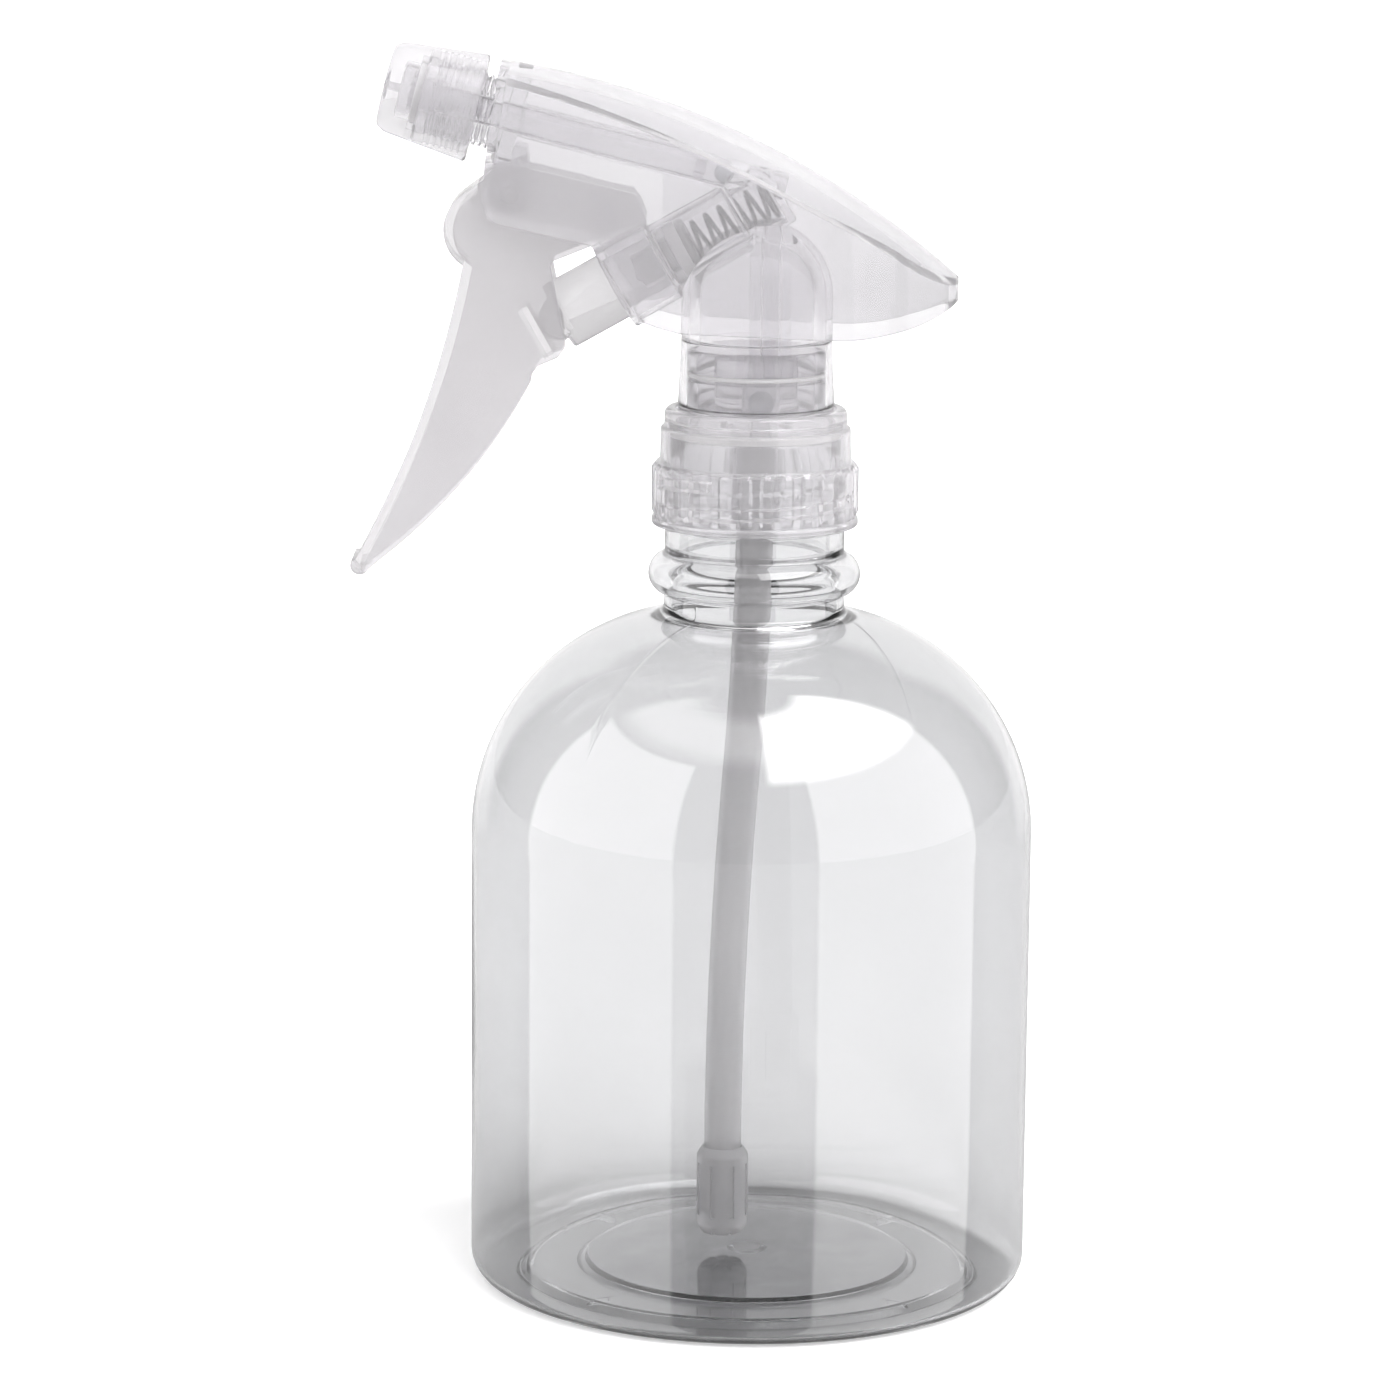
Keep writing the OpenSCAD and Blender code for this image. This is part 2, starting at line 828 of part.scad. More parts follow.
bottle();
closure_nut();
closure_gasket();
neck_connector();
connector_oring();
dip_tube();
tube_filter();
inlet_ball();
pump_body();
outlet_ball();
outlet_cage();
barrel_plug();
spinner();
nozzle_gasket();
nozzle_cap();
piston();
piston_cup();
vent_cup();
return_spring();
trigger();
shroud();
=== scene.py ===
import math

import bmesh
import bpy
from mathutils import Matrix, Vector


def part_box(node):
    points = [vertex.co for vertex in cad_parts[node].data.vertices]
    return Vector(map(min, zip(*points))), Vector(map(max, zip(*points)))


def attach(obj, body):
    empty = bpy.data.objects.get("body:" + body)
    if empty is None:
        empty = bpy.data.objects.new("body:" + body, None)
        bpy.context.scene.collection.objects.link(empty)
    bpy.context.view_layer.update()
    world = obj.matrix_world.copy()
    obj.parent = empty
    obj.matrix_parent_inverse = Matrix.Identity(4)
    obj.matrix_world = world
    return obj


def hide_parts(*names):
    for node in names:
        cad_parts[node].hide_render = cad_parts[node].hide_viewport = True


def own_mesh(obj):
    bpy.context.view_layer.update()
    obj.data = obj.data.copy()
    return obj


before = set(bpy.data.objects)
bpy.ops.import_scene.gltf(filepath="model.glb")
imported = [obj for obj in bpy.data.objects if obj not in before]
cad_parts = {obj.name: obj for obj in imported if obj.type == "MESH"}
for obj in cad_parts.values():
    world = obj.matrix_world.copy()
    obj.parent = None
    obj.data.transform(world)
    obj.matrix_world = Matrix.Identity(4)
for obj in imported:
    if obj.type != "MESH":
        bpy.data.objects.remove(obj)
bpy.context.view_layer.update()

# A clear spray bottle with a translucent trigger sprayer. Shapes below are in millimetres, and
# become metres when a mesh is made. +Z up, the jet leaves towards -X, symmetric about y = 0.
scene = bpy.context.scene
MM = 0.001
TAU = 2 * math.pi

# ---------- driving dimensions, as in the CAD source ----------

BOTTLE_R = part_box("bottle")[1].x / MM
RIM_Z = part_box("bottle")[1].z / MM
WALL = 0.8
SHOULDER_Z = 68.4
SHOULDER_R = 33.5
HEEL_R = 3.5
NECK_R = 12.65
COLLAR_R = 13.35
NECK_BORE_R = 11.2
BEAD = (12.6, 107.4)
BEAD_R = 3.2
THREAD_R = 13.75
THREAD_Z = 117.0
THREAD_TURNS = 4 / 3
PITCH = 4.23
SEAM_ANGLE = math.radians(230)

NUT_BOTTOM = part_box("closure_nut")[0].z / MM
NUT_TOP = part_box("closure_nut")[1].z / MM
NUT_SHELF = 124.2
NUT_BORE_R = 14.05
NUT_RIBS = 30
NUT_WALL_R = 14.85
NUT_FOOT_R = 15.35
NUT_RIB_H = 0.52
NUT_RIB_Z = (116.2, 123.9)
NUT_THREAD_Z = 116.5

FLANGE_Z = 128.9
SOCKET_Z = 116.0
SEAL_Z = 136.5
SEAL_FLOOR_R = 9.6
PLUG_R = 10.25
BELL_Z = 132.6
BELL_R = 11.6
DOME_Z = 149.0
DOME_R = 11.15
PIPE_X = 2.0
PIPE_Z = 136.0
PIPE_R = 3.1
VALVE_X = 0.6
BALL_R = 2.0

TUBE_R = 2.8
TUBE_BORE_R = 2.0
TUBE_TOP = 126.0
TUBE_BEND_Z = 118.0
TUBE_BEND = math.radians(4.5)
BEND_R1 = 510.0
BEND_R2 = 740.0
TUBE_END = 9.0

BARREL_TILT = math.radians(14)
BARREL = (-41.2, 175.9)
BARREL_R = 2.5
BARREL_BORE_R = 1.75
BARREL_END = 46.6
TIP_S = -10.0
COLLAR_S = -7.0
THREAD_COLLAR_R = 4.9
NOZZLE_PITCH = 0.9
CAP_BORE_R = 5.75
SEAT_S = 38.3
OUTLET_R = 1.5

PUMP_TILT = math.radians(29.5)
PUMP = (-21.1, 150.05)
MOUTH_R = 5.45
PUMP_BORE_R = 4.4
POCKET_R = 3.4
POCKET_END = 27.0
SPRING_S = 12.3
WIRE_R = 0.35
COIL_R = 2.7
COIL_TURNS = 7.5

PIVOT = (-36.4, 163.8)
PIVOT_R = 1.5
ARM_IN = 4.6
ARM_OUT = 6.0
FRONT_ARC = (-190.9, 181.9)
FRONT_ARC_R = 150.4
REAR_ARC = (-105.6, 174.2)
REAR_ARC_R = 81.7
TIP = (-58.4, 108.9)
TIP_R = 1.42

ROOF = (-56.8, 54.1)
ROOF_R = 130.5
ROOF_WALL = 1.8
CROWN_R = 22.0
SIDE_WALL = 1.4
SHROUD_Y = 12.8
WIDE_X = 2.0
FRONT_BOW_R = 199.0
REAR_BOW_R = 57.3
TAIL_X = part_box("shroud")[1].x / MM
TAIL_ROUND = 10.0


# ---------- outlines ----------

def arc(centre, r, start, end, steps=8):
    """Points of an arc, angles in degrees"""
    turn = [math.radians(start + (end - start) * i / steps) for i in range(steps + 1)]
    return [(centre[0] + r * math.cos(a), centre[1] + r * math.sin(a)) for a in turn]


def rounded(corners, steps=4):
    """Outline through corners (x, z) or (x, z, radius), where a radius rounds the corner"""
    points = []
    count = len(corners)
    for i, corner in enumerate(corners):
        here = Vector(corner[:2])
        r = corner[2] if len(corner) > 2 else 0
        to_last = Vector(corners[i - 1][:2]) - here
        to_next = Vector(corners[(i + 1) % count][:2]) - here
        angle = to_last.angle(to_next) if r else math.pi
        if r == 0 or angle < math.radians(4) or angle > math.radians(176):
            points.append(tuple(here))
            continue
        reach = min(r / math.tan(angle / 2), to_last.length * 0.49, to_next.length * 0.49)
        a = here + to_last.normalized() * reach
        b = here + to_next.normalized() * reach
        for k in range(steps + 1):
            t = k / steps
            # a rational quadratic curve with this weight is a true circle
            w = math.sin(angle / 2)
            share = [(1 - t) ** 2, 2 * w * t * (1 - t), t ** 2]
            p = (a * share[0] + here * share[1] + b * share[2]) / sum(share)
            points.append(tuple(p))
    return points


def rectangle(x0, x1, z0, z1):
    return [(x0, z0), (x1, z0), (x1, z1), (x0, z1)]


def circle(centre, r, steps=32):
    return arc(centre, r, 0, 360, steps)[:-1]


# ---------- meshes ----------

def mesh_object(name, points, faces):
    """New object from points in millimetres, with its faces turned outwards"""
    mesh = bpy.data.meshes.new(name)
    mesh.from_pydata([Vector(p) * MM for p in points], [], faces)
    tidy = bmesh.new()
    tidy.from_mesh(mesh)
    bmesh.ops.remove_doubles(tidy, verts=tidy.verts, dist=1e-7)
    bmesh.ops.dissolve_degenerate(tidy, edges=tidy.edges, dist=1e-7)
    bmesh.ops.recalc_face_normals(tidy, faces=tidy.faces)
    tidy.to_mesh(mesh)
    tidy.free()
    obj = bpy.data.objects.new(name, mesh)
    scene.collection.objects.link(obj)
    return obj


def even_angles(count):
    return [TAU * i / count for i in range(count)]


def turned(name, outline, angles=96, shift=None):
    """Turns a closed outline of (radius, height) about Z.
    shift(angle, radius, height) gives the change of radius at a point"""
    if isinstance(angles, int):
        angles = even_angles(angles)
    points = []
    for r, z in outline:
        for a in angles:
            here = r + (shift(a, r, z) if shift and r > 0 else 0)
            points.append((here * math.cos(a), here * math.sin(a), z))
    n = len(angles)
    rows = len(outline)
    faces = []
    for i in range(rows):
        j = (i + 1) % rows
        if outline[i][0] <= 0 and outline[j][0] <= 0:
            continue
        for k in range(n):
            m = (k + 1) % n
            faces.append((i * n + k, i * n + m, j * n + m, j * n + k))
    return mesh_object(name, points, faces)


def slab(name, outline, y0, y1):
    """Side view (x, z) given a thickness from y0 to y1"""
    n = len(outline)
    points = [(x, y0, z) for x, z in outline] + [(x, y1, z) for x, z in outline]
    faces = [tuple(range(n)), tuple(range(2 * n - 1, n - 1, -1))]
    faces += [(i, n + i, n + (i + 1) % n, (i + 1) % n) for i in range(n)]
    return mesh_object(name, points, faces)


def swept(name, path, radius, sides, bore=0):
    """Tube of that radius along a path of points, with flat ends, hollow if it has a bore"""
    path = [Vector(p) for p in path]
    rings = []
    across = Vector((0, 1, 0))
    for i, p in enumerate(path):
        ahead = (path[min(i + 1, len(path) - 1)] - path[max(i - 1, 0)]).normalized()
        across = (across - ahead * across.dot(ahead)).normalized()
        up = ahead.cross(across)
        rings.append((p, across, up))
    points = []
    radii = [radius, bore] if bore else [radius]
    for r in radii:
        for p, u, v in rings:
            for k in range(sides):
                a = TAU * k / sides
                points.append(p + u * (r * math.cos(a)) + v * (r * math.sin(a)))
    n = len(rings)
    faces = []
    for shell in range(len(radii)):
        base = shell * n * sides
        for i in range(n - 1):
            for k in range(sides):
                m = (k + 1) % sides
                a = base + i * sides
                faces.append((a + k, a + m, a + sides + m, a + sides + k))
    for i in (0, n - 1):
        outer = i * sides
        inner = (n + i) * sides
        if bore:
            for k in range(sides):
                m = (k + 1) % sides
                faces.append((outer + k, outer + m, inner + m, inner + k))
        else:
            faces.append(tuple(range(outer, outer + sides)))
    return mesh_object(name, points, faces)


def place(obj, x, z, turn):
    """Stands an object's +Z up at (x, z), tilted by turn about Y"""
    obj.data.transform(Matrix.Translation((x * MM, 0, z * MM)) @ Matrix.Rotation(turn, 4, "Y"))
    return obj


def on_barrel(obj, s=0):
    """Puts an object on the spray barrel, its +Z pointing backwards"""
    x = BARREL[0] + s * math.cos(BARREL_TILT)
    z = BARREL[1] - s * math.sin(BARREL_TILT)
    return place(obj, x, z, math.pi / 2 + BARREL_TILT)


def on_pump(obj, s=0):
    """Puts an object on the pump cylinder, its +Z pointing up the bore"""
    x = PUMP[0] + s * math.cos(PUMP_TILT)
    z = PUMP[1] + s * math.sin(PUMP_TILT)
    return place(obj, x, z, math.pi / 2 - PUMP_TILT)


def applied(obj):
    """Makes an object's modifiers part of its mesh"""
    now = obj.evaluated_get(bpy.context.evaluated_depsgraph_get())
    mesh = bpy.data.meshes.new_from_object(now)
    obj.modifiers.clear()
    obj.data = mesh
    return obj


def combine(operation, obj, *others):
    """Joins, cuts or crosses an object with others, which are used up"""
    for other in others:
        step = obj.modifiers.new("combine", "BOOLEAN")
        step.operation = operation
        step.solver = "MANIFOLD"
        step.object = other
    applied(obj)
    for other in others:
        bpy.data.objects.remove(other)
    return obj


def join(obj, *others):
    return combine("UNION", obj, *others)


def cut(obj, *others):
    return combine("DIFFERENCE", obj, *others)


def cross(obj, *others):
    return combine("INTERSECT", obj, *others)


def round_edges(obj, width, segments=3, angle=35):
    """Rounds every edge sharper than angle"""
    bevel = obj.modifiers.new("round", "BEVEL")
    bevel.width = width * MM
    bevel.segments = segments
    bevel.limit_method = "ANGLE"
    bevel.angle_limit = math.radians(angle)
    bevel.miter_outer = "MITER_ARC"
    return applied(obj)


def smooth(obj, angle=35):
    """Smooth shading, with edges sharper than angle left crisp"""
    obj.data.shade_smooth()
    obj.data.set_sharp_from_angle(angle=math.radians(angle))
    return obj


def piece(obj, body, material, slot, *nodes):
    """Finishes a piece: its body, material, and the CAD nodes that it stands for; slot is not used"""
    obj.data.materials.clear()
    obj.data.materials.append(material)
    smooth(obj)
    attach(obj, body)
    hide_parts(*nodes)
    return obj


# ---------- materials ----------

def math_node(nodes, links, operation, *values):
    node = nodes.new("ShaderNodeMath")
    node.operation = operation
    for socket, value in zip(node.inputs, values):
        if isinstance(value, (int, float)):
            socket.default_value = value
        else:
            links.new(value, socket)
    return node.outputs["Value"]


class Surface:
    """A Principled material with helpers for its pattern nodes"""

    def __init__(self, name):
        self.material = bpy.data.materials.new(name)
        self.material.use_nodes = True
        self.nodes = self.material.node_tree.nodes
        self.links = self.material.node_tree.links
        self.shader = self.nodes["Principled BSDF"]
        self.place = self.nodes.new("ShaderNodeTexCoord").outputs["Object"]

    def set(self, **values):
        for key, value in values.items():
            socket = key.replace("_", " ").title().replace("Ior", "IOR")
            self.shader.inputs[socket].default_value = value

    def noise(self, scale, detail=3.0, roughness=0.5, stretch=None):
        source = self.place
        if stretch:
            mapping = self.nodes.new("ShaderNodeMapping")
            mapping.inputs["Scale"].default_value = stretch
            self.links.new(source, mapping.inputs["Vector"])
            source = mapping.outputs["Vector"]
        node = self.nodes.new("ShaderNodeTexNoise")
        node.inputs["Scale"].default_value = scale
        node.inputs["Detail"].default_value = detail
        node.inputs["Roughness"].default_value = roughness
        self.links.new(source, node.inputs["Vector"])
        return node.outputs["Fac"]

    def spread(self, value, low, high, start=0.3, end=0.7):
        """Maps a pattern's values from start..end to low..high"""
        node = self.nodes.new("ShaderNodeMapRange")
        node.inputs["From Min"].default_value = start
        node.inputs["From Max"].default_value = end
        node.inputs["To Min"].default_value = low
        node.inputs["To Max"].default_value = high
        self.links.new(value, node.inputs["Value"])
        return node.outputs["Result"]

    def ramp(self, value, low, high, start=0.3, end=0.7):
        """Colours a pattern from low to high"""
        ramp = self.nodes.new("ShaderNodeValToRGB")
        ramp.color_ramp.elements[0].position = start
        ramp.color_ramp.elements[0].color = (*low, 1)
        ramp.color_ramp.elements[1].position = end
        ramp.color_ramp.elements[1].color = (*high, 1)
        self.links.new(value, ramp.inputs["Fac"])
        return ramp.outputs["Color"]

    def tint(self, value, low, high, start=0.3, end=0.7):
        self.links.new(self.ramp(value, low, high, start, end), self.shader.inputs["Base Color"])

    def mix_tint(self, share, first, second):
        node = self.nodes.new("ShaderNodeMix")
        node.data_type = "RGBA"
        self.links.new(share, node.inputs["Factor"])
        self.links.new(first, node.inputs["A"])
        self.links.new(second, node.inputs["B"])
        self.links.new(node.outputs["Result"], self.shader.inputs["Base Color"])

    def math(self, operation, *values):
        return math_node(self.nodes, self.links, operation, *values)

    def part(self, axis):
        """One coordinate of the place on the object"""
        node = self.nodes.new("ShaderNodeSeparateXYZ")
        self.links.new(self.place, node.inputs["Vector"])
        return node.outputs[axis]

    def distance_from_axis(self):
        node = self.nodes.new("ShaderNodeMapping")
        node.inputs["Scale"].default_value = (1, 1, 0)
        self.links.new(self.place, node.inputs["Vector"])
        length = self.nodes.new("ShaderNodeVectorMath")
        length.operation = "LENGTH"
        self.links.new(node.outputs["Vector"], length.inputs[0])
        return length.outputs["Value"]

    def rough(self, value):
        self.links.new(value, self.shader.inputs["Roughness"])

    def bump(self, value, height, under=None):
        """Bump of that height in metres; under is a bump below it"""
        node = self.nodes.new("ShaderNodeBump")
        node.inputs["Distance"].default_value = height
        self.links.new(value, node.inputs["Height"])
        if under:
            self.links.new(under, node.inputs["Normal"])
        self.links.new(node.outputs["Normal"], self.shader.inputs["Normal"])
        return node.outputs["Normal"]


# in metres: along +X, where the cover's painted shade towards the tail starts and ends its change; then from
# the axis and upwards, where the painted shade on the bottle's base panel fades out
TAIL_SHADE_SPAN = (0.004, 0.034)
BASE_SHADE_EDGE = (0.0250, 0.0262)
BASE_SHADE_TOP = (0.0048, 0.0056)


def clear_pet():
    """Blow-moulded PET: clear and glossy, with slow waves, fine rubs and a thick base panel tinted darker
    and blotchy as painted shade
    """
    s = Surface("clear_pet")
    s.set(ior=1.57, transmission_weight=1.0)
    wall = s.ramp(s.noise(25, 2), (0.79, 0.793, 0.80), (0.815, 0.817, 0.822))
    # painted shade: inside the standing ring and low down, the base panel gets a darker, blotchy tint
    panel = s.ramp(s.noise(160, 4, 0.6), (0.66, 0.66, 0.68), (0.84, 0.84, 0.85))
    inside = s.spread(s.distance_from_axis(), 1, 0, *BASE_SHADE_EDGE)
    low = s.spread(s.part("Z"), 1, 0, *BASE_SHADE_TOP)
    s.mix_tint(s.math("MULTIPLY", inside, low), wall, panel)
    s.rough(s.spread(s.noise(180, 5, 0.7, (1, 1, 0.3)), 0.0, 0.03, 0.45, 0.75))
    s.bump(s.noise(38, 1, 0.4, (1, 1, 0.5)), 0.00005)
    return s.material


def milky_plastic(name, low, high, clear, rough, ior=1.22, tail=1.0):
    """Natural polyolefin: milky, with cloudy flow marks and a fine grain; tail scales the tint towards +X as
    painted shade on the tail end
    """
    s = Surface(name)
    s.set(ior=ior, specular_ior_level=0.9, transmission_weight=clear)
    cloud = s.noise(70, 4, 0.55)
    # painted shade: towards +X the tint is scaled by tail, darkening the tail end against the light that
    # falls on it
    far = s.ramp(cloud, [c * tail for c in low], [c * tail for c in high])
    tail_shade_share = s.spread(s.part("X"), 0, 1, *TAIL_SHADE_SPAN)
    s.mix_tint(tail_shade_share, s.ramp(cloud, low, high), far)
    s.rough(s.spread(s.noise(260, 4, 0.6), rough - 0.04, rough + 0.04))
    flow = s.bump(s.noise(90, 1, 0.4), 0.00002)
    s.bump(s.noise(2600, 3), 0.0000005, flow)
    return s.material


def seal_rubber():
    s = Surface("soft_seal")
    s.tint(s.noise(200, 3), (0.74, 0.74, 0.73), (0.84, 0.84, 0.83))
    s.rough(s.spread(s.noise(900, 3), 0.45, 0.65))
    s.bump(s.noise(3000, 3), 0.000006)
    return s.material


def spring_wire():
    """Drawn stainless wire: grey metal with fine lengthwise rubs"""
    s = Surface("spring_steel")
    s.set(metallic=1.0)
    s.tint(s.noise(900, 3), (0.02, 0.02, 0.024), (0.09, 0.09, 0.095))
    s.rough(s.spread(s.noise(2200, 4), 0.22, 0.42))
    s.bump(s.noise(5000, 3), 0.000003)
    return s.material


def valve_glass():
    s = Surface("valve_ball")
    s.set(ior=1.5, transmission_weight=0.6)
    s.tint(s.noise(400, 2), (0.72, 0.76, 0.78), (0.82, 0.85, 0.87))
    s.rough(s.spread(s.noise(800, 3), 0.03, 0.12))
    s.bump(s.noise(1500, 2), 0.000002)
    return s.material


PET = clear_pet()
PP = milky_plastic("natural_pp", (0.90, 0.89, 0.905), (0.93, 0.925, 0.935), 0.92, 0.04)
# the cover's tint is painted darker towards its tail, as painted shade
PP_COVER = milky_plastic("natural_pp_cover", (0.85, 0.84, 0.855), (0.88, 0.875, 0.885), 0.84, 0.045,
                         tail=0.84)
PP_LEVER = milky_plastic("natural_pp_lever", (0.77, 0.76, 0.77), (0.80, 0.79, 0.80), 0.76, 0.12)
PP_NUT = milky_plastic("natural_pp_closure", (0.85, 0.84, 0.855), (0.89, 0.88, 0.895), 0.81, 0.05, ior=1.34)
PP_INSERT = milky_plastic("natural_pp_insert", (0.93, 0.92, 0.935), (0.96, 0.955, 0.965), 0.84, 0.08)
PP_NOZZLE = milky_plastic("natural_pp_nozzle", (0.80, 0.79, 0.805), (0.83, 0.82, 0.835), 0.79, 0.05)
PE = milky_plastic("natural_pe", (0.93, 0.92, 0.928), (0.965, 0.955, 0.96), 0.62, 0.2, ior=1.12)
SEAL = seal_rubber()
STEEL = spring_wire()
GLASS = valve_glass()


# ---------- bottle ----------

def ridge(angle, z, start_z, pitch, turns, half):
    """How far up a screw thread's ridge a point is, from 0 on its wall to 1 on its crest"""
    best = 0.0
    for k in range(int(turns) + 1):
        along = angle / TAU + k
        if along > turns:
            break
        off = abs(z - start_z - along * pitch)
        fade = min(1.0, along * 10, (turns - along) * 10)
        best = max(best, fade * min(1.0, max(0.0, (half - off) / (0.5 * half))))
    return best * best * (3 - 2 * best)


def seam(angle, at, width):
    """1 on a mould's parting line at that angle or opposite, and 0 away from it"""
    away = abs((angle - at + math.pi / 2) % math.pi - math.pi / 2)
    return max(0.0, 1 - away / width)


def seamed_angles(count, at, width):
    """Even angles, and three more across each parting line"""
    extra = [(at + half + k * width) % TAU for half in (0, math.pi) for k in (-1, 0, 1)]
    return sorted(even_angles(count) + extra)


def bottle_outside():
    """From the centre of the base out, up the side and over the dome to the rim"""
    dome = (BOTTLE_R - SHOULDER_R, SHOULDER_Z)
    base = rounded([(0, 2.5), (2.0, 2.5, 0.5), (2.9, 3.1, 0.6), (24.2, 2.1, 1.0), (25.6, 1.2, 0.7),
                    (32.3, 1.2, 0.9), (33.7, 0, 0.9), (BOTTLE_R, 0, HEEL_R), (BOTTLE_R, 20)], 6)
    side = [(BOTTLE_R, z) for z in range(22, 68, 5)]
    top = arc(dome, SHOULDER_R, 0, 79, 40)
    neck = rounded([top[-1], (13.45, 101.9, 1.4), (13.45, 104.6, 0.4), (14.3, 104.9)], 5)[1:-1]
    bead = arc(BEAD, BEAD_R, -54, 62, 16)
    above = rounded([bead[-1], (COLLAR_R, 110.6, 0.7), (COLLAR_R, 114.3, 0.4), (NECK_R, 114.8, 0.4),
                     (NECK_R, 116.0)], 4)[1:]
    thread = [(NECK_R, 116.2 + 0.2 * i) for i in range(36)]
    rim = rounded([(NECK_R, 124), (NECK_R, RIM_Z, 0.4), (NECK_BORE_R, RIM_Z, 0.3), (NECK_BORE_R, 124)], 3)
    return base[:-1] + side + top + neck + bead + above + thread + rim


def bottle_inside():
    """From the rim down the bore, under the dome, down the side and in to the centre"""
    dome = (BOTTLE_R - SHOULDER_R, SHOULDER_Z)
    bore = rounded([(NECK_BORE_R, 122), (NECK_BORE_R, 111.2, 1.0), (12.6, 109.5, 1.2), (13.2, 107.4, 1.5),
                    (12.6, 105.3, 1.2), (12.3, 104.2, 1.0), (12.3, 101.9, 1.2)], 4)[:-1]
    top = arc(dome, SHOULDER_R - WALL, 83, 0, 36)
    side = [(BOTTLE_R - WALL, z) for z in range(62, 5, -5)]
    base = rounded([(BOTTLE_R - WALL, 6), (BOTTLE_R - WALL, WALL + 0.1, HEEL_R - WALL),
                    (34.6, WALL + 0.1, 1.2), (32.6, 2.1, 1.2), (25.4, 2.1, 1.0), (24.0, 3.0, 1.0),
                    (0, 4.0)], 6)
    return bore + top + side + base


def make_bottle():
    line = 0.004
    dome_x = BOTTLE_R - SHOULDER_R

    def shape(angle, r, z):
        if RIM_Z - 12 < z < RIM_Z - 3 and r > NECK_R - 0.01:
            return (THREAD_R - NECK_R) * ridge(angle, z, THREAD_Z, PITCH, THREAD_TURNS, 1.05)
        outside = z > 4 and (r > BOTTLE_R - 0.3
                             or math.hypot(r - dome_x, z - SHOULDER_Z) > SHOULDER_R - 0.3)
        depth = 0.05 * min(1.0, max(0.0, (z - 62) / 20))
        return -depth * seam(angle, SEAM_ANGLE, line) if outside and z < 104 else 0

    outline = bottle_outside() + bottle_inside()
    obj = turned("bottle_clear", outline, seamed_angles(180, SEAM_ANGLE, line), shape)
    # four short ribs on the base, inside the standing ring
    for k in range(4):
        rib = slab("rib", rounded([(29.2, 0.5), (32.9, 0.5), (32.9, 1.5), (29.2, 1.5)]), -0.35, 0.35)
        rib.data.transform(Matrix.Rotation(math.radians(45 + 90 * k), 4, "Z"))
        join(obj, rib)
    return piece(obj, "bottle", PET, "clear_pet", "bottle")


make_bottle()


# ---------- closure ----------

def make_nut():
    """Ribbed skirt, two narrower steps, and a thread inside"""
    rib_low, rib_high = NUT_RIB_Z
    outside = rounded([(NUT_BORE_R, NUT_BOTTOM, 0.2), (NUT_FOOT_R, NUT_BOTTOM, 0.35),
                       (NUT_FOOT_R, 115.9, 0.2), (NUT_WALL_R, 116.1, 0.15)], 3)
    skirt = [(NUT_WALL_R, 116.4 + 0.5 * i) for i in range(15)]
    steps = rounded([(NUT_WALL_R, rib_high), (14.75, NUT_SHELF, 0.35), (14.2, NUT_SHELF, 0.15),
                     (14.1, 129.3, 0.5), (13.6, 129.5, 0.15), (13.5, NUT_TOP, 1.0), (11.9, NUT_TOP, 0.2),
                     (11.9, 130.4, 0.1), (13.15, 130.4, 0.3), (13.15, 123.5, 0.1),
                     (NUT_BORE_R, 123.5, 0.2), (NUT_BORE_R, 122.8)], 4)[1:]
    bore = [(NUT_BORE_R, 122.6 - 0.25 * i) for i in range(30)]
    turn = 0.5 - (THREAD_Z - NUT_THREAD_Z) / PITCH

    def shape(angle, r, z):
        if abs(r - NUT_WALL_R) < 0.02 and rib_low < z < rib_high:
            wave = math.cos(angle * NUT_RIBS)
            lift = min(1.0, (z - rib_low) / 0.4, (rib_high - z) / 0.4)
            return NUT_RIB_H * lift * min(1.0, max(0.0, wave * 3 + 0.4))
        if abs(r - NUT_BORE_R) < 0.01 and 115.2 < z < 122.9:
            here = (angle - turn * TAU) % TAU
            return -1.0 * ridge(here, z, NUT_THREAD_Z, PITCH, THREAD_TURNS, 1.0)
        return 0

    obj = turned("closure_nut_ribbed", outside + skirt + steps + bore, NUT_RIBS * 12, shape)
    return piece(obj, "nut", PP_NUT, "natural_pp", "closure_nut")


def make_gasket():
    low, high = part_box("closure_gasket")
    obj = turned("closure_gasket_ring", rounded([(9.6, low.z / MM, 0.15), (12.7, low.z / MM, 0.15),
                                                 (12.7, high.z / MM, 0.15), (9.6, high.z / MM, 0.15)]))
    return piece(obj, "head", SEAL, "soft_seal", "closure_gasket")


def post(x, r, z0, z1, sides=48):
    """Upright round rod at x, used to drill a hole or stand a pipe"""
    obj = turned("post", [(0, z0), (r, z0), (r, z1), (0, z1)], sides)
    obj.data.transform(Matrix.Translation((x * MM, 0, 0)))
    return obj


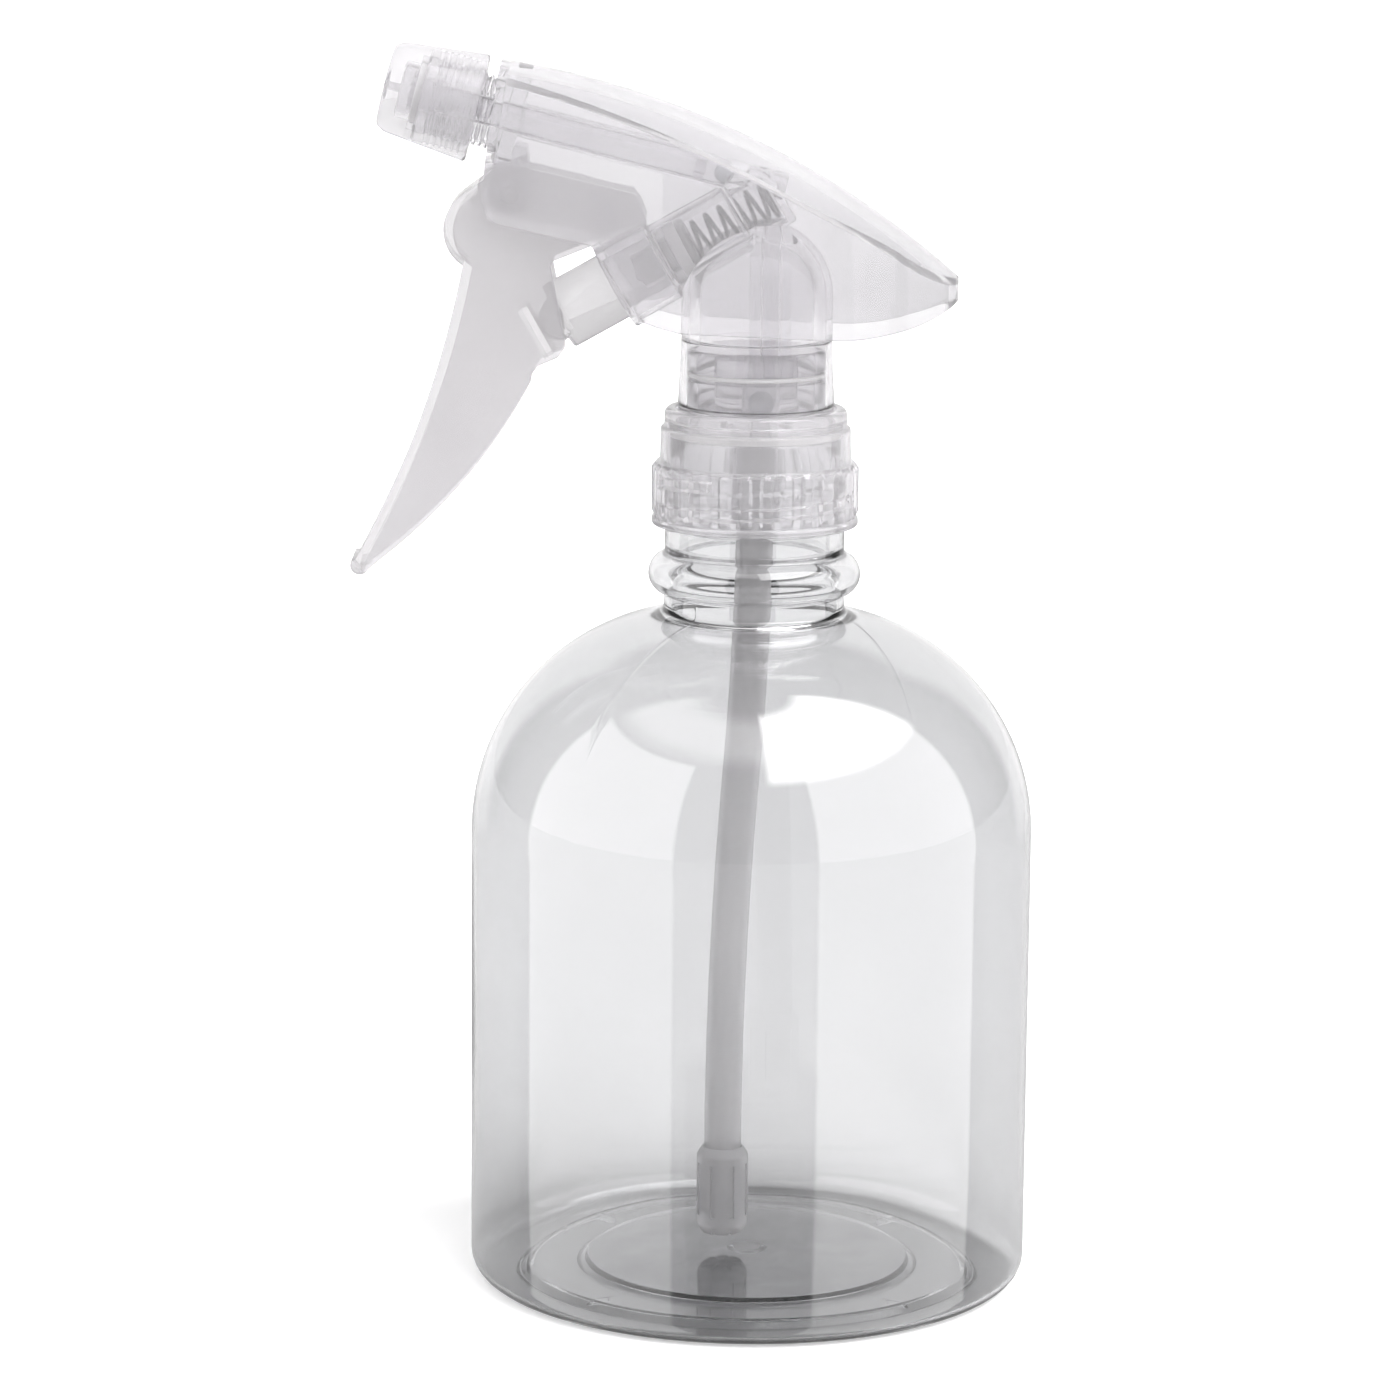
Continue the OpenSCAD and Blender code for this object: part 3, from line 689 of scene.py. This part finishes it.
def make_connector():
    """Insert that joins bottle, dip tube and pump body, and holds the lower valve"""
    obj = turned("neck_connector_insert", rounded([
        (0, SOCKET_Z), (4.3, SOCKET_Z, 0.5), (4.3, FLANGE_Z, 0.6), (12.8, FLANGE_Z, 0.25),
        (12.8, 130.2, 0.25), (11.5, 130.2, 0.2), (11.5, BELL_Z, 0.1), (PLUG_R, BELL_Z, 0.1),
        (PLUG_R, SEAL_Z, 0.1), (SEAL_FLOOR_R, SEAL_Z, 0.2), (SEAL_FLOOR_R, 138.1, 0.2),
        (PLUG_R, 138.1, 0.1), (PLUG_R, 141, 0.5), (9, 141, 0.2), (9, 131.6, 0.5),
        (6.2, 131.6, 0.5), (6.2, 139.5, 0.3), (0, 139.5)], 3))
    cut(obj, post(0, TUBE_R, 115, TUBE_TOP), post(0, TUBE_BORE_R, 125, 128), post(VALVE_X, 1.3, 126, 131),
        post(VALVE_X, BALL_R + 0.35, 130.5, 136.2), post(PIPE_X, PIPE_R + 0.02, PIPE_Z, 141),
        post(-7.6, 0.6, 125, 135, 24))
    return piece(obj, "head", PP_INSERT, "natural_pp", "neck_connector")


def make_oring():
    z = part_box("connector_oring")
    obj = turned("connector_oring_ring", circle((9.92, (z[0].z + z[1].z) / 2 / MM), 0.33, 20))
    return piece(obj, "head", SEAL, "soft_seal", "connector_oring")


make_nut()
make_gasket()
make_connector()
make_oring()


# ---------- dip tube ----------

def tube_centre(z):
    """Centre line of the dip tube: a slow bend one way, then a slower one back"""
    z1 = TUBE_BEND_Z - BEND_R1 * math.sin(TUBE_BEND)
    z2 = z1 - BEND_R2 * math.sin(TUBE_BEND)
    x2 = -(BEND_R1 + BEND_R2) * (1 - math.cos(TUBE_BEND))
    if z > TUBE_BEND_Z:
        x = 0.0
    elif z > z1:
        x = -BEND_R1 + math.sqrt(BEND_R1 ** 2 - (TUBE_BEND_Z - z) ** 2)
    elif z > z2:
        x = x2 + BEND_R2 - math.sqrt(BEND_R2 ** 2 - (z - z2) ** 2)
    else:
        x = x2
    return Vector((x, 0, z))


def make_tube():
    steps = 60
    path = [tube_centre(TUBE_END + (TUBE_TOP - TUBE_END) * i / steps) for i in range(steps + 1)]
    obj = round_edges(swept("dip_tube_drawn", path, TUBE_R - 0.02, 48, TUBE_BORE_R), 0.12, 2, 60)
    return piece(obj, "head", PE, "natural_pe", "dip_tube")


def make_filter():
    """Strainer: a round body with drain slots, pressed on the tube's end"""
    low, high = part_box("tube_filter")
    z0, z1 = low.z / MM, high.z / MM
    r = (high.x - low.x) / 2 / MM
    obj = turned("tube_filter_strainer", rounded([
        (0, z0), (r - 0.8, z0, 0.5), (r, z0 + 1.3, 1.0), (r, z1 - 1.2, 1.0), (r - 0.8, z1, 0.4),
        (TUBE_R + 0.02, z1, 0.2), (TUBE_R + 0.02, TUBE_END, 0.1), (2.2, TUBE_END, 0.1),
        (2.2, z0 + 1, 0.2), (0, z0 + 1)], 4), 72)
    for k in range(8):
        slot = slab("slot", rounded([(r - 0.45, z0 + 2.6), (r + 1, z0 + 2.6), (r + 1, z1 - 2.4),
                                     (r - 0.45, z1 - 2.4)]), -0.35, 0.35)
        foot = slab("foot", rectangle(1.2, r + 1, z0 - 0.5, z0 + 0.5), -0.3, 0.3)
        for part in (slot, foot):
            part.data.transform(Matrix.Rotation(k * TAU / 8 + TAU / 16, 4, "Z"))
        cut(obj, slot, foot)
    obj.data.transform(Matrix.Translation(((low.x + high.x) / 2, 0, 0)))
    return piece(obj, "head", PE, "natural_pe", "tube_filter")


def make_ball(name, r, centre, body, node):
    obj = turned(name, arc((0, 0), r, -90, 90, 24)[:-1] + [(0, r)], 40)
    obj.data.transform(Matrix.Translation(centre))
    return piece(obj, body, GLASS, "valve_ball", node)


def middle(node):
    low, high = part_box(node)
    return (low + high) / 2


make_tube()
make_filter()
make_ball("inlet_ball_glass", BALL_R, middle("inlet_ball"), "inlet_valve", "inlet_ball")
make_ball("outlet_ball_glass", OUTLET_R, middle("outlet_ball"), "outlet_valve", "outlet_ball")


# ---------- pump body ----------

def rod(outline, sides=64):
    """Solid turned from the corners (radius, height) of its outside, each maybe with a rounding"""
    return turned("rod", rounded([(0, outline[0][1])] + outline + [(0, outline[-1][1])]), sides)


def make_pump_body():
    """Bell and dome, rising pipe, pump cylinder, spray barrel and the ears for the trigger"""
    dome = arc((0, DOME_Z), DOME_R, 0, 90, 16)[:-1] + [(0, DOME_Z + DOME_R)]
    under = [(0, DOME_Z + 8.4)] + arc((0, DOME_Z), 8.4, 90, 0, 16)[1:]
    bell = [(BELL_R, BELL_Z), (DOME_R + 0.02, 142.4)] + dome + under
    bell += rounded([(8.4, 142.6), (8.4, 142.2, 0.2), (10.3, 142.2, 0.3), (10.3, BELL_Z)])
    obj = turned("pump_body_moulding", bell, 96)
    pipe = post(PIPE_X, PIPE_R, PIPE_Z, 159)
    cylinder = on_pump(rod([(6.9, 0, 0.35), (6.9, 1.6, 0.35), (6.35, 1.6, 0.1), (6.35, 8.6, 0.6),
                            (5.35, 8.7, 0.1), (5.35, 21.5, 0.5), (4.6, 21.6, 0.1), (4.6, 28.4, 0.6)]))
    collar = [(0, TIP_S), (3.2, TIP_S), (3.2, COLLAR_S), (4.6, COLLAR_S), (THREAD_COLLAR_R, COLLAR_S + 0.4)]
    collar += [(THREAD_COLLAR_R, COLLAR_S + 0.6 + 0.1 * i) for i in range(100)]
    collar += rounded([(THREAD_COLLAR_R, 4.3), (6.6, 4.4, 0.3), (6.6, 6.6, 0.3), (BARREL_R, 6.7, 0.3),
                       (BARREL_R, BARREL_END, 0.3), (0, BARREL_END)])

    def threaded(angle, r, s):
        if abs(r - THREAD_COLLAR_R) < 0.01 and COLLAR_S < s < 3.2:
            return 0.5 * ridge(angle, s, -5.8, NOZZLE_PITCH, 9.4, 0.36)
        return 0

    barrel = on_barrel(turned("barrel", collar, 72, threaded))
    web = slab("web", [(-14, 159.4), (-14, 168.4), (1, 165), (1, 163)], -0.8, 0.8)
    join(obj, pipe, cylinder, barrel, web)
    for side in (-1, 1):
        ear = arc(PIVOT, 3.1, 172, 368, 20) + [(PIVOT[0] + 2.6, 170.5), (PIVOT[0] - 1.9, 171.6)]
        join(obj, round_edges(slab("ear", ear, side * 3.3 - 0.9, side * 3.3 + 0.9), 0.25, 2))
    bores = [
        on_pump(rod([(MOUTH_R, -0.5), (MOUTH_R, 7.9, 0.2), (PUMP_BORE_R, 8.0, 0.1), (PUMP_BORE_R, 20.8, 0.4),
                     (POCKET_R, 20.9, 0.1), (POCKET_R, POCKET_END, 0.3)])),
        post(PIPE_X, 1.2, PIPE_Z - 0.5, 162.5, 32),
        on_barrel(rod([(2.2, TIP_S - 0.5), (2.2, -6), (BARREL_BORE_R, -5.9), (BARREL_BORE_R, SEAT_S - 0.5),
                       (1.1, SEAT_S), (1.1, 40.3), (BARREL_BORE_R, 40.8), (BARREL_BORE_R, 47.5)], 48)),
    ]
    pivot = circle(PIVOT, PIVOT_R + 0.06, 40)
    cut(obj, *bores, slab("pivot", pivot, -8, 8))
    return piece(obj, "head", PP, "natural_pp", "pump_body")


def make_barrel_parts():
    plug_r = BARREL_BORE_R - 0.01
    plug = on_barrel(rod([(plug_r, BARREL_END - 1.1, 0.2), (plug_r, BARREL_END, 0.15)]))
    plug.name = "barrel_plug_disc"
    piece(plug, "head", PP, "natural_pp", "barrel_plug")
    ring = rounded([(0.9, 32.86, 0.15), (1.74, 32.86, 0.1), (1.74, 34.46, 0.1), (0.9, 34.46, 0.3)])
    cage = on_barrel(turned("outlet_cage_ring", ring, 48))
    piece(cage, "head", PP, "natural_pp", "outlet_cage")
    spinner = rod([(2.18, -10.2, 0.15), (2.18, -6.0, 0.3), (1.2, -5.9, 0.2), (1.2, 1.9, 0.6)], 48)
    swirl = [rod([(1.0, -11), (1.0, -9.6)], 32)]
    for side in (-1, 1):
        low = 0.0 if side > 0 else -3.0
        x = side * 0.7
        swirl.append(slab("slot", rectangle(x - 0.25, x + 0.25, -11, -9.6), low, low + 3))
    spinner = on_barrel(cut(spinner, *swirl))
    spinner.name = "spinner_insert"
    piece(spinner, "head", PP, "natural_pp", "spinner")


make_pump_body()
make_barrel_parts()


# ---------- nozzle ----------

def make_nozzle():
    ring = rounded([(3.25, -9.4, 0.2), (4.5, -9.4, 0.2), (4.5, -8.4, 0.2), (3.25, -8.4, 0.2)])
    gasket = on_barrel(turned("nozzle_gasket_ring", ring, 64))
    piece(gasket, "nozzle_seal", SEAL, "soft_seal", "nozzle_gasket")
    face = rounded([(0.5, -13), (2.2, -13, 0.3), (3.2, -14, 0.5), (6.0, -14, 1.1), (6.75, -12.5, 1.2),
                    (8.1, 0, 0.5), (5.85, 0, 0.3)], 5)
    bore = [(CAP_BORE_R, -0.3 - 0.1 * i) for i in range(79)]
    inside = rounded([(CAP_BORE_R, -8.3, 0.1), (4.55, -8.3, 0.1), (4.55, -9.45, 0.1), (3.5, -9.45, 0.1),
                      (3.5, -11.6, 0.4), (0.5, -11.6)], 3)

    def threaded(angle, r, s):
        if abs(r - CAP_BORE_R) < 0.01 and s > -7.6:
            return -0.22 * ridge(angle, s, -7.2, NOZZLE_PITCH, 7.2, 0.36)
        return 0

    cap = on_barrel(turned("nozzle_cap_tapered", face + bore + inside, 96, threaded))
    piece(cap, "nozzle", PP_NOZZLE, "natural_pp", "nozzle_cap")


# ---------- piston and spring ----------

def make_piston():
    """Thick rod with a round nose, and a hollow stem that holds the seals and the spring"""
    obj = rod([(5.15, -9.4, 0.4), (5.15, 0.3, 0.5), (4.05, 0.4, 0.1), (4.05, 13.4, 0.35)])
    nose = slab("nose", circle((0, -9), 3.2, 48), -4, 4)
    join(obj, nose)
    flats = [slab("flat", [(-8, -11), (8, -11), (8, -8.2), (-8, -8.2)], *sorted((side * 4.25, side * 8.25)))
             for side in (-1, 1)]
    grooves = [turned("groove", rounded([(r, s), (5.0, s), (5.0, s + h), (r, s + h)]), 64)
               for r, s, h in ((3.8, 10.2, 1.9), (3.4, 7.8, 1.2))]
    hollow = rod([(2.3, 4, 0.4), (2.3, 12.3), (3.4, 12.4), (3.4, 14)])
    cut(obj, *flats, *grooves, hollow)
    round_edges(obj, 0.15, 2, 50)
    obj.name = "piston_rod"
    piece(on_pump(obj), "piston", PP_LEVER, "natural_pp", "piston")


def make_seals():
    cup = turned("piston_cup_lip", rounded([(3.82, 10.2, 0.1), (4.2, 10.2, 0.2), (4.34, 12.1, 0.2),
                                            (4.15, 12.1, 0.1), (3.9, 11.5, 0.2), (3.82, 11.5, 0.1)]), 64)
    piece(on_pump(cup), "piston", SEAL, "soft_seal", "piston_cup")
    vent = turned("vent_cup_lip", rounded([(3.42, 7.97, 0.1), (4.34, 7.97, 0.3), (4.34, 8.83, 0.3),
                                           (3.42, 8.83, 0.1)]), 64)
    piece(on_pump(vent), "piston", SEAL, "soft_seal", "vent_cup")


def make_spring():
    """Coil whose last turn at each end lies flat"""
    start = SPRING_S + WIRE_R + 0.05
    length = POCKET_END - WIRE_R - 0.05 - start
    lead = 2.1 * WIRE_R
    steps = 36
    path = []
    for i in range(int(COIL_TURNS * steps) + 1):
        u = i / steps
        if u < 1:
            h = u * lead
        elif u > COIL_TURNS - 1:
            h = length - (COIL_TURNS - u) * lead
        else:
            h = lead + (u - 1) * (length - 2 * lead) / (COIL_TURNS - 2)
        path.append((COIL_R * math.cos(TAU * u), COIL_R * math.sin(TAU * u), start + h))
    obj = on_pump(swept("return_spring_coil", path, WIRE_R, 12))
    piece(obj, "head", STEEL, "spring_steel", "return_spring")
    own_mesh(obj)


make_nozzle()
make_piston()
make_seals()
make_spring()


# ---------- trigger ----------

def arc_at(centre, r, z):
    """Point of a circle's right-hand side at height z"""
    return (centre[0] + math.sqrt(r * r - (z - centre[1]) ** 2), z)


def trigger_outline():
    """Side view, from the tip up the hollow front, round the brow and back along the arms"""
    brow = (-39.9, 158.6)
    front = [arc_at(FRONT_ARC, FRONT_ARC_R, TIP[1] + 0.6 + i * 2.2) for i in range(20)]
    front.append(arc_at(FRONT_ARC, FRONT_ARC_R, 153.4))
    round_brow = arc(brow, 6.15, 236, 128, 14)
    hinge = arc(PIVOT, 4.4, 150, 82, 8)
    arms = rounded([(-35.8, 168.2), (-17.7, 164.1, 0.8), (-16.1, 159.8, 0.8), (-30.4, 154, 0.8),
                    (-28.1, 141.6, 0.8), (-29.2, 140, 0.5), (-32.06, 138.8, 1.0), (-33.0, 137.6)], 4)
    rear = [arc_at(REAR_ARC, REAR_ARC_R, 136.5 - i * 2.2) for i in range(13)]
    tip = arc(TIP, TIP_R, -25, -205, 10)
    return front + round_brow + hinge + arms + rear + tip


def make_trigger():
    """Channel open at the rear: two sides, a front wall, a wall that pushes the piston, two pins"""
    outline = trigger_outline()
    obj = slab("trigger_lever", outline, -ARM_OUT, ARM_OUT)
    round_edges(obj, 0.7, 4, 40)
    inside = slab("inside", [(x + 1.4, z - 0.3) for x, z in outline], -ARM_IN, ARM_IN)
    open_side = [(-41, 160.5), (-41, 175), (-5, 175), (-5, 120), (-29, 120), (-29, 150)]
    behind = slab("behind", open_side, -ARM_IN, ARM_IN)
    cut(obj, inside, behind)
    reach = ARM_IN + 0.3
    wall = on_pump(slab("wall", rounded(rectangle(-4, 4, -13.95, -12.35)), -reach, reach))
    dimples = [slab("dimple", circle(PIVOT, 1.35, 40),
                    *sorted((side * (ARM_OUT - 0.45), side * (ARM_OUT + 1))))
               for side in (-1, 1)]
    cut(obj, *dimples)
    pins = [slab("pin", circle(PIVOT, PIVOT_R, 40), *sorted((side * 2.6, side * 4.9))) for side in (-1, 1)]
    join(obj, wall, *pins)
    piece(obj, "trigger", PP_LEVER, "natural_pp", "trigger")


# ---------- shroud ----------

def roof_z(x, y, drop=0):
    """Height of the arched roof, drawn in by drop"""
    r = ROOF_R - drop - CROWN_R + math.sqrt(CROWN_R ** 2 - y * y)
    return ROOF[1] + math.sqrt(r * r - (x - ROOF[0]) ** 2)


def half_width(x):
    """Half-width in plan: two bows and the round tail"""
    bow = FRONT_BOW_R if x < WIDE_X else REAR_BOW_R
    w = SHROUD_Y - bow + math.sqrt(bow * bow - (x - WIDE_X) ** 2)
    tail = TAIL_X - TAIL_ROUND
    return min(w, math.sqrt(max(0, TAIL_ROUND ** 2 - (x - tail) ** 2))) if x > tail else w


def plan(drop, front):
    """Closed plan view, drawn in by drop, starting at x = front"""
    tail = TAIL_X - TAIL_ROUND
    xs = [front + (tail - front) * i / 40 for i in range(40)]
    side = [(x, half_width(x) - drop) for x in xs]
    end = arc((tail, 0), TAIL_ROUND - drop, 88, 0, 14)
    right = side + end
    left = [(x, -y) for x, y in reversed(right[:-1])]
    return right + left


def column(name, outline, z0, z1):
    """Plan view (x, y) given a height from z0 to z1"""
    n = len(outline)
    points = [(x, y, z0) for x, y in outline] + [(x, y, z1) for x, y in outline]
    faces = [tuple(range(n)), tuple(range(2 * n - 1, n - 1, -1))]
    faces += [(i, n + i, n + (i + 1) % n, (i + 1) % n) for i in range(n)]
    return mesh_object(name, points, faces)


def under_roof(name, drop):
    """Block below the arched roof"""
    nx, ny = 90, 36
    x0, x1, y1, floor = -44.0, 34.0, 15.0, 125.0
    points = []
    for i in range(nx + 1):
        for j in range(ny + 1):
            x = x0 + (x1 - x0) * i / nx
            y = -y1 + 2 * y1 * j / ny
            points.append((x, y, roof_z(x, y, drop)))
    count = len(points)
    points += [(x, y, floor) for x, y, z in points]
    row = ny + 1
    faces = []
    for i in range(nx):
        for j in range(ny):
            a = i * row + j
            faces.append((a, a + 1, a + row + 1, a + row))
            faces.append((count + a, count + a + row, count + a + row + 1, count + a + 1))
    for i in range(nx):
        for j in (0, ny):
            a = i * row + j
            faces.append((a, a + row, count + a + row, count + a))
    for j in range(ny):
        for i in (0, nx):
            a = i * row + j
            faces.append((a, a + 1, count + a + 1, count + a))
    return mesh_object(name, points, faces)


def make_shroud():
    """Thin cover: arched roof, bowed sides, a flat front with a hole for the barrel, open below"""
    front = [(-36.7, 190), (-39.95, 168.3), (-40.3, 162.6), (-40.3, 130), (TAIL_X + 1, 130),
             (TAIL_X + 1, 190)]
    obj = under_roof("shroud_cover", 0)
    cross(obj, column("plan", plan(0, -60), 128, 195), slab("front", front, -20, 20))
    round_edges(obj, 1.5, 5, 30)
    tail = (12.3, 175.9)
    lower = arc(tail, 32.4, -90, 10, 30) + [(60, 200), (-60, 200), (-60, 163)]
    lower += rounded([(-40.35, 163), (-40.3, 162.6), (-39.4, 160.4, 1.2), (-38, 159.7, 1.0),
                      (-24.3, 157, 1.2), (-17.3, 146.2, 1.5), (-14.6, 145.2, 1.5), (-11.4, 144.4, 1.5),
                      (6, 143.7)], 4)[:-1]
    cross(obj, slab("lower", lower, -20, 20))
    hollow = under_roof("hollow", ROOF_WALL)
    inner = [(-36.7 + SIDE_WALL, 190), (-39.95 + SIDE_WALL, 168.6), (-60, 168.6), (-60, 120),
             (TAIL_X + 1, 120), (TAIL_X + 1, 190)]
    cross(hollow, column("plan", plan(SIDE_WALL, -60), 118, 195), slab("inner", inner, -20, 20))
    round_edges(hollow, 1.1, 4, 30)
    cut(obj, hollow, on_barrel(rod([(5.7, 0), (5.7, 6)])))
    round_edges(obj, 0.35, 2, 45)
    piece(obj, "head", PP_COVER, "natural_pp", "shroud")


make_trigger()
make_shroud()


# ---------- floor, light and camera ----------

FLOOR = 0.66
FLOOR_SEEN = 0.93
FLOOR_GLOW = 0.25
FLOOR_HALF = 30.0
SHEET_Z = -0.00003
TABLE_Z = -0.00006
AMBIENT = 0.25
# turn from the camera's side in degrees, low and high, then rise, low and high, then softness and level
PANELS = [(27, 103, -60, 50, 1.2, 2.1), (-103, -32, -60, 47, 1.2, 2.0), (8, 105, 41, 78, 3, 6.0),
          (-100, 8, 52, 75, 6, 1.6), (140, 190, -8, 40, 6, 0.75), (-190, -140, -8, 40, 6, 0.75),
          (110, 190, -70, -8, 6, 0.28), (-190, -110, -70, -8, 6, 0.28)]


def make_floor(name, z, shade, glow=0.0):
    """Pale floor, large enough to fill the view"""
    half = FLOOR_HALF
    corners = [(-half, -half, z), (half, -half, z), (half, half, z), (-half, half, z)]
    mesh = bpy.data.meshes.new(name)
    mesh.from_pydata(corners, [], [(0, 1, 2, 3)])
    floor = bpy.data.objects.new(name, mesh)
    scene.collection.objects.link(floor)
    s = Surface(name)
    s.set(base_color=(shade, shade, shade, 1), roughness=0.9, specular_ior_level=0.0)
    s.set(emission_color=(1, 1, 1, 1), emission_strength=glow)
    mesh.materials.append(s.material)
    # mirror-like reflections see the studio's panels in place of the floor
    floor.visible_glossy = False
    return floor


def make_floors():
    """One sheet that only the camera sees, and one that lights the object and is seen through it"""
    sheet = make_floor("floor_sheet", SHEET_Z, FLOOR_SEEN, FLOOR_GLOW)
    sheet.visible_diffuse = False
    sheet.visible_transmission = False
    sheet.visible_shadow = False
    table = make_floor("floor_table", TABLE_Z, FLOOR)
    table.visible_camera = False


def make_world():
    """Soft studio: tall panels at both sides, one overhead in front, darker between them"""
    world = bpy.data.worlds.new("studio")
    scene.world = world
    world.use_nodes = True
    nodes, links = world.node_tree.nodes, world.node_tree.links

    def calc(operation, *values):
        return math_node(nodes, links, operation, *values)

    def between(value, low, high, soft):
        """1 between low and high, 0 outside, with soft edges, in degrees"""
        share = 1.0
        for edge, sign in ((low, 1), (high, -1)):
            step = nodes.new("ShaderNodeMapRange")
            step.interpolation_type = "SMOOTHSTEP"
            step.inputs["From Min"].default_value = math.radians(edge - sign * soft)
            step.inputs["From Max"].default_value = math.radians(edge + sign * soft)
            links.new(value, step.inputs["Value"])
            share = calc("MULTIPLY", share, step.outputs["Result"])
        return share

    direction = nodes.new("ShaderNodeTexCoord").outputs["Generated"]
    parts = nodes.new("ShaderNodeSeparateXYZ")
    links.new(direction, parts.inputs["Vector"])
    turn = calc("ARCTAN2", parts.outputs["X"], calc("MULTIPLY", parts.outputs["Y"], -1))
    rise = calc("ARCSINE", parts.outputs["Z"])
    total = AMBIENT
    for low, high, bottom, top, soft, level in PANELS:
        panel = calc("MULTIPLY", between(turn, low, high, soft), between(rise, bottom, top, soft))
        total = calc("ADD", total, calc("MULTIPLY", panel, level))
    links.new(total, nodes["Background"].inputs["Strength"])
    nodes["Background"].inputs["Color"].default_value = (1.0, 0.995, 1.0, 1)


def make_camera():
    """Seen from the side, a little above, with the nozzle to the left"""
    distance = 0.78
    height = 0.238
    pitch = math.radians(10.89)
    roll = math.radians(0.52)
    sideways = -0.0079
    data = bpy.data.cameras.new("camera")
    data.sensor_width = 36
    data.lens = 136.5
    camera = bpy.data.objects.new("camera", data)
    turn = Matrix.Rotation(math.pi / 2 - pitch, 4, "X") @ Matrix.Rotation(roll, 4, "Z")
    camera.matrix_world = Matrix.Translation((sideways, -distance, height)) @ turn
    scene.collection.objects.link(camera)
    scene.camera = camera


make_floors()
make_world()
make_camera()
scene.view_settings.view_transform = "Standard"
scene.cycles.max_bounces = 40
scene.cycles.transmission_bounces = 40
scene.cycles.transparent_max_bounces = 24
scene.cycles.glossy_bounces = 8
scene.cycles.diffuse_bounces = 4
scene.cycles.use_denoising = True
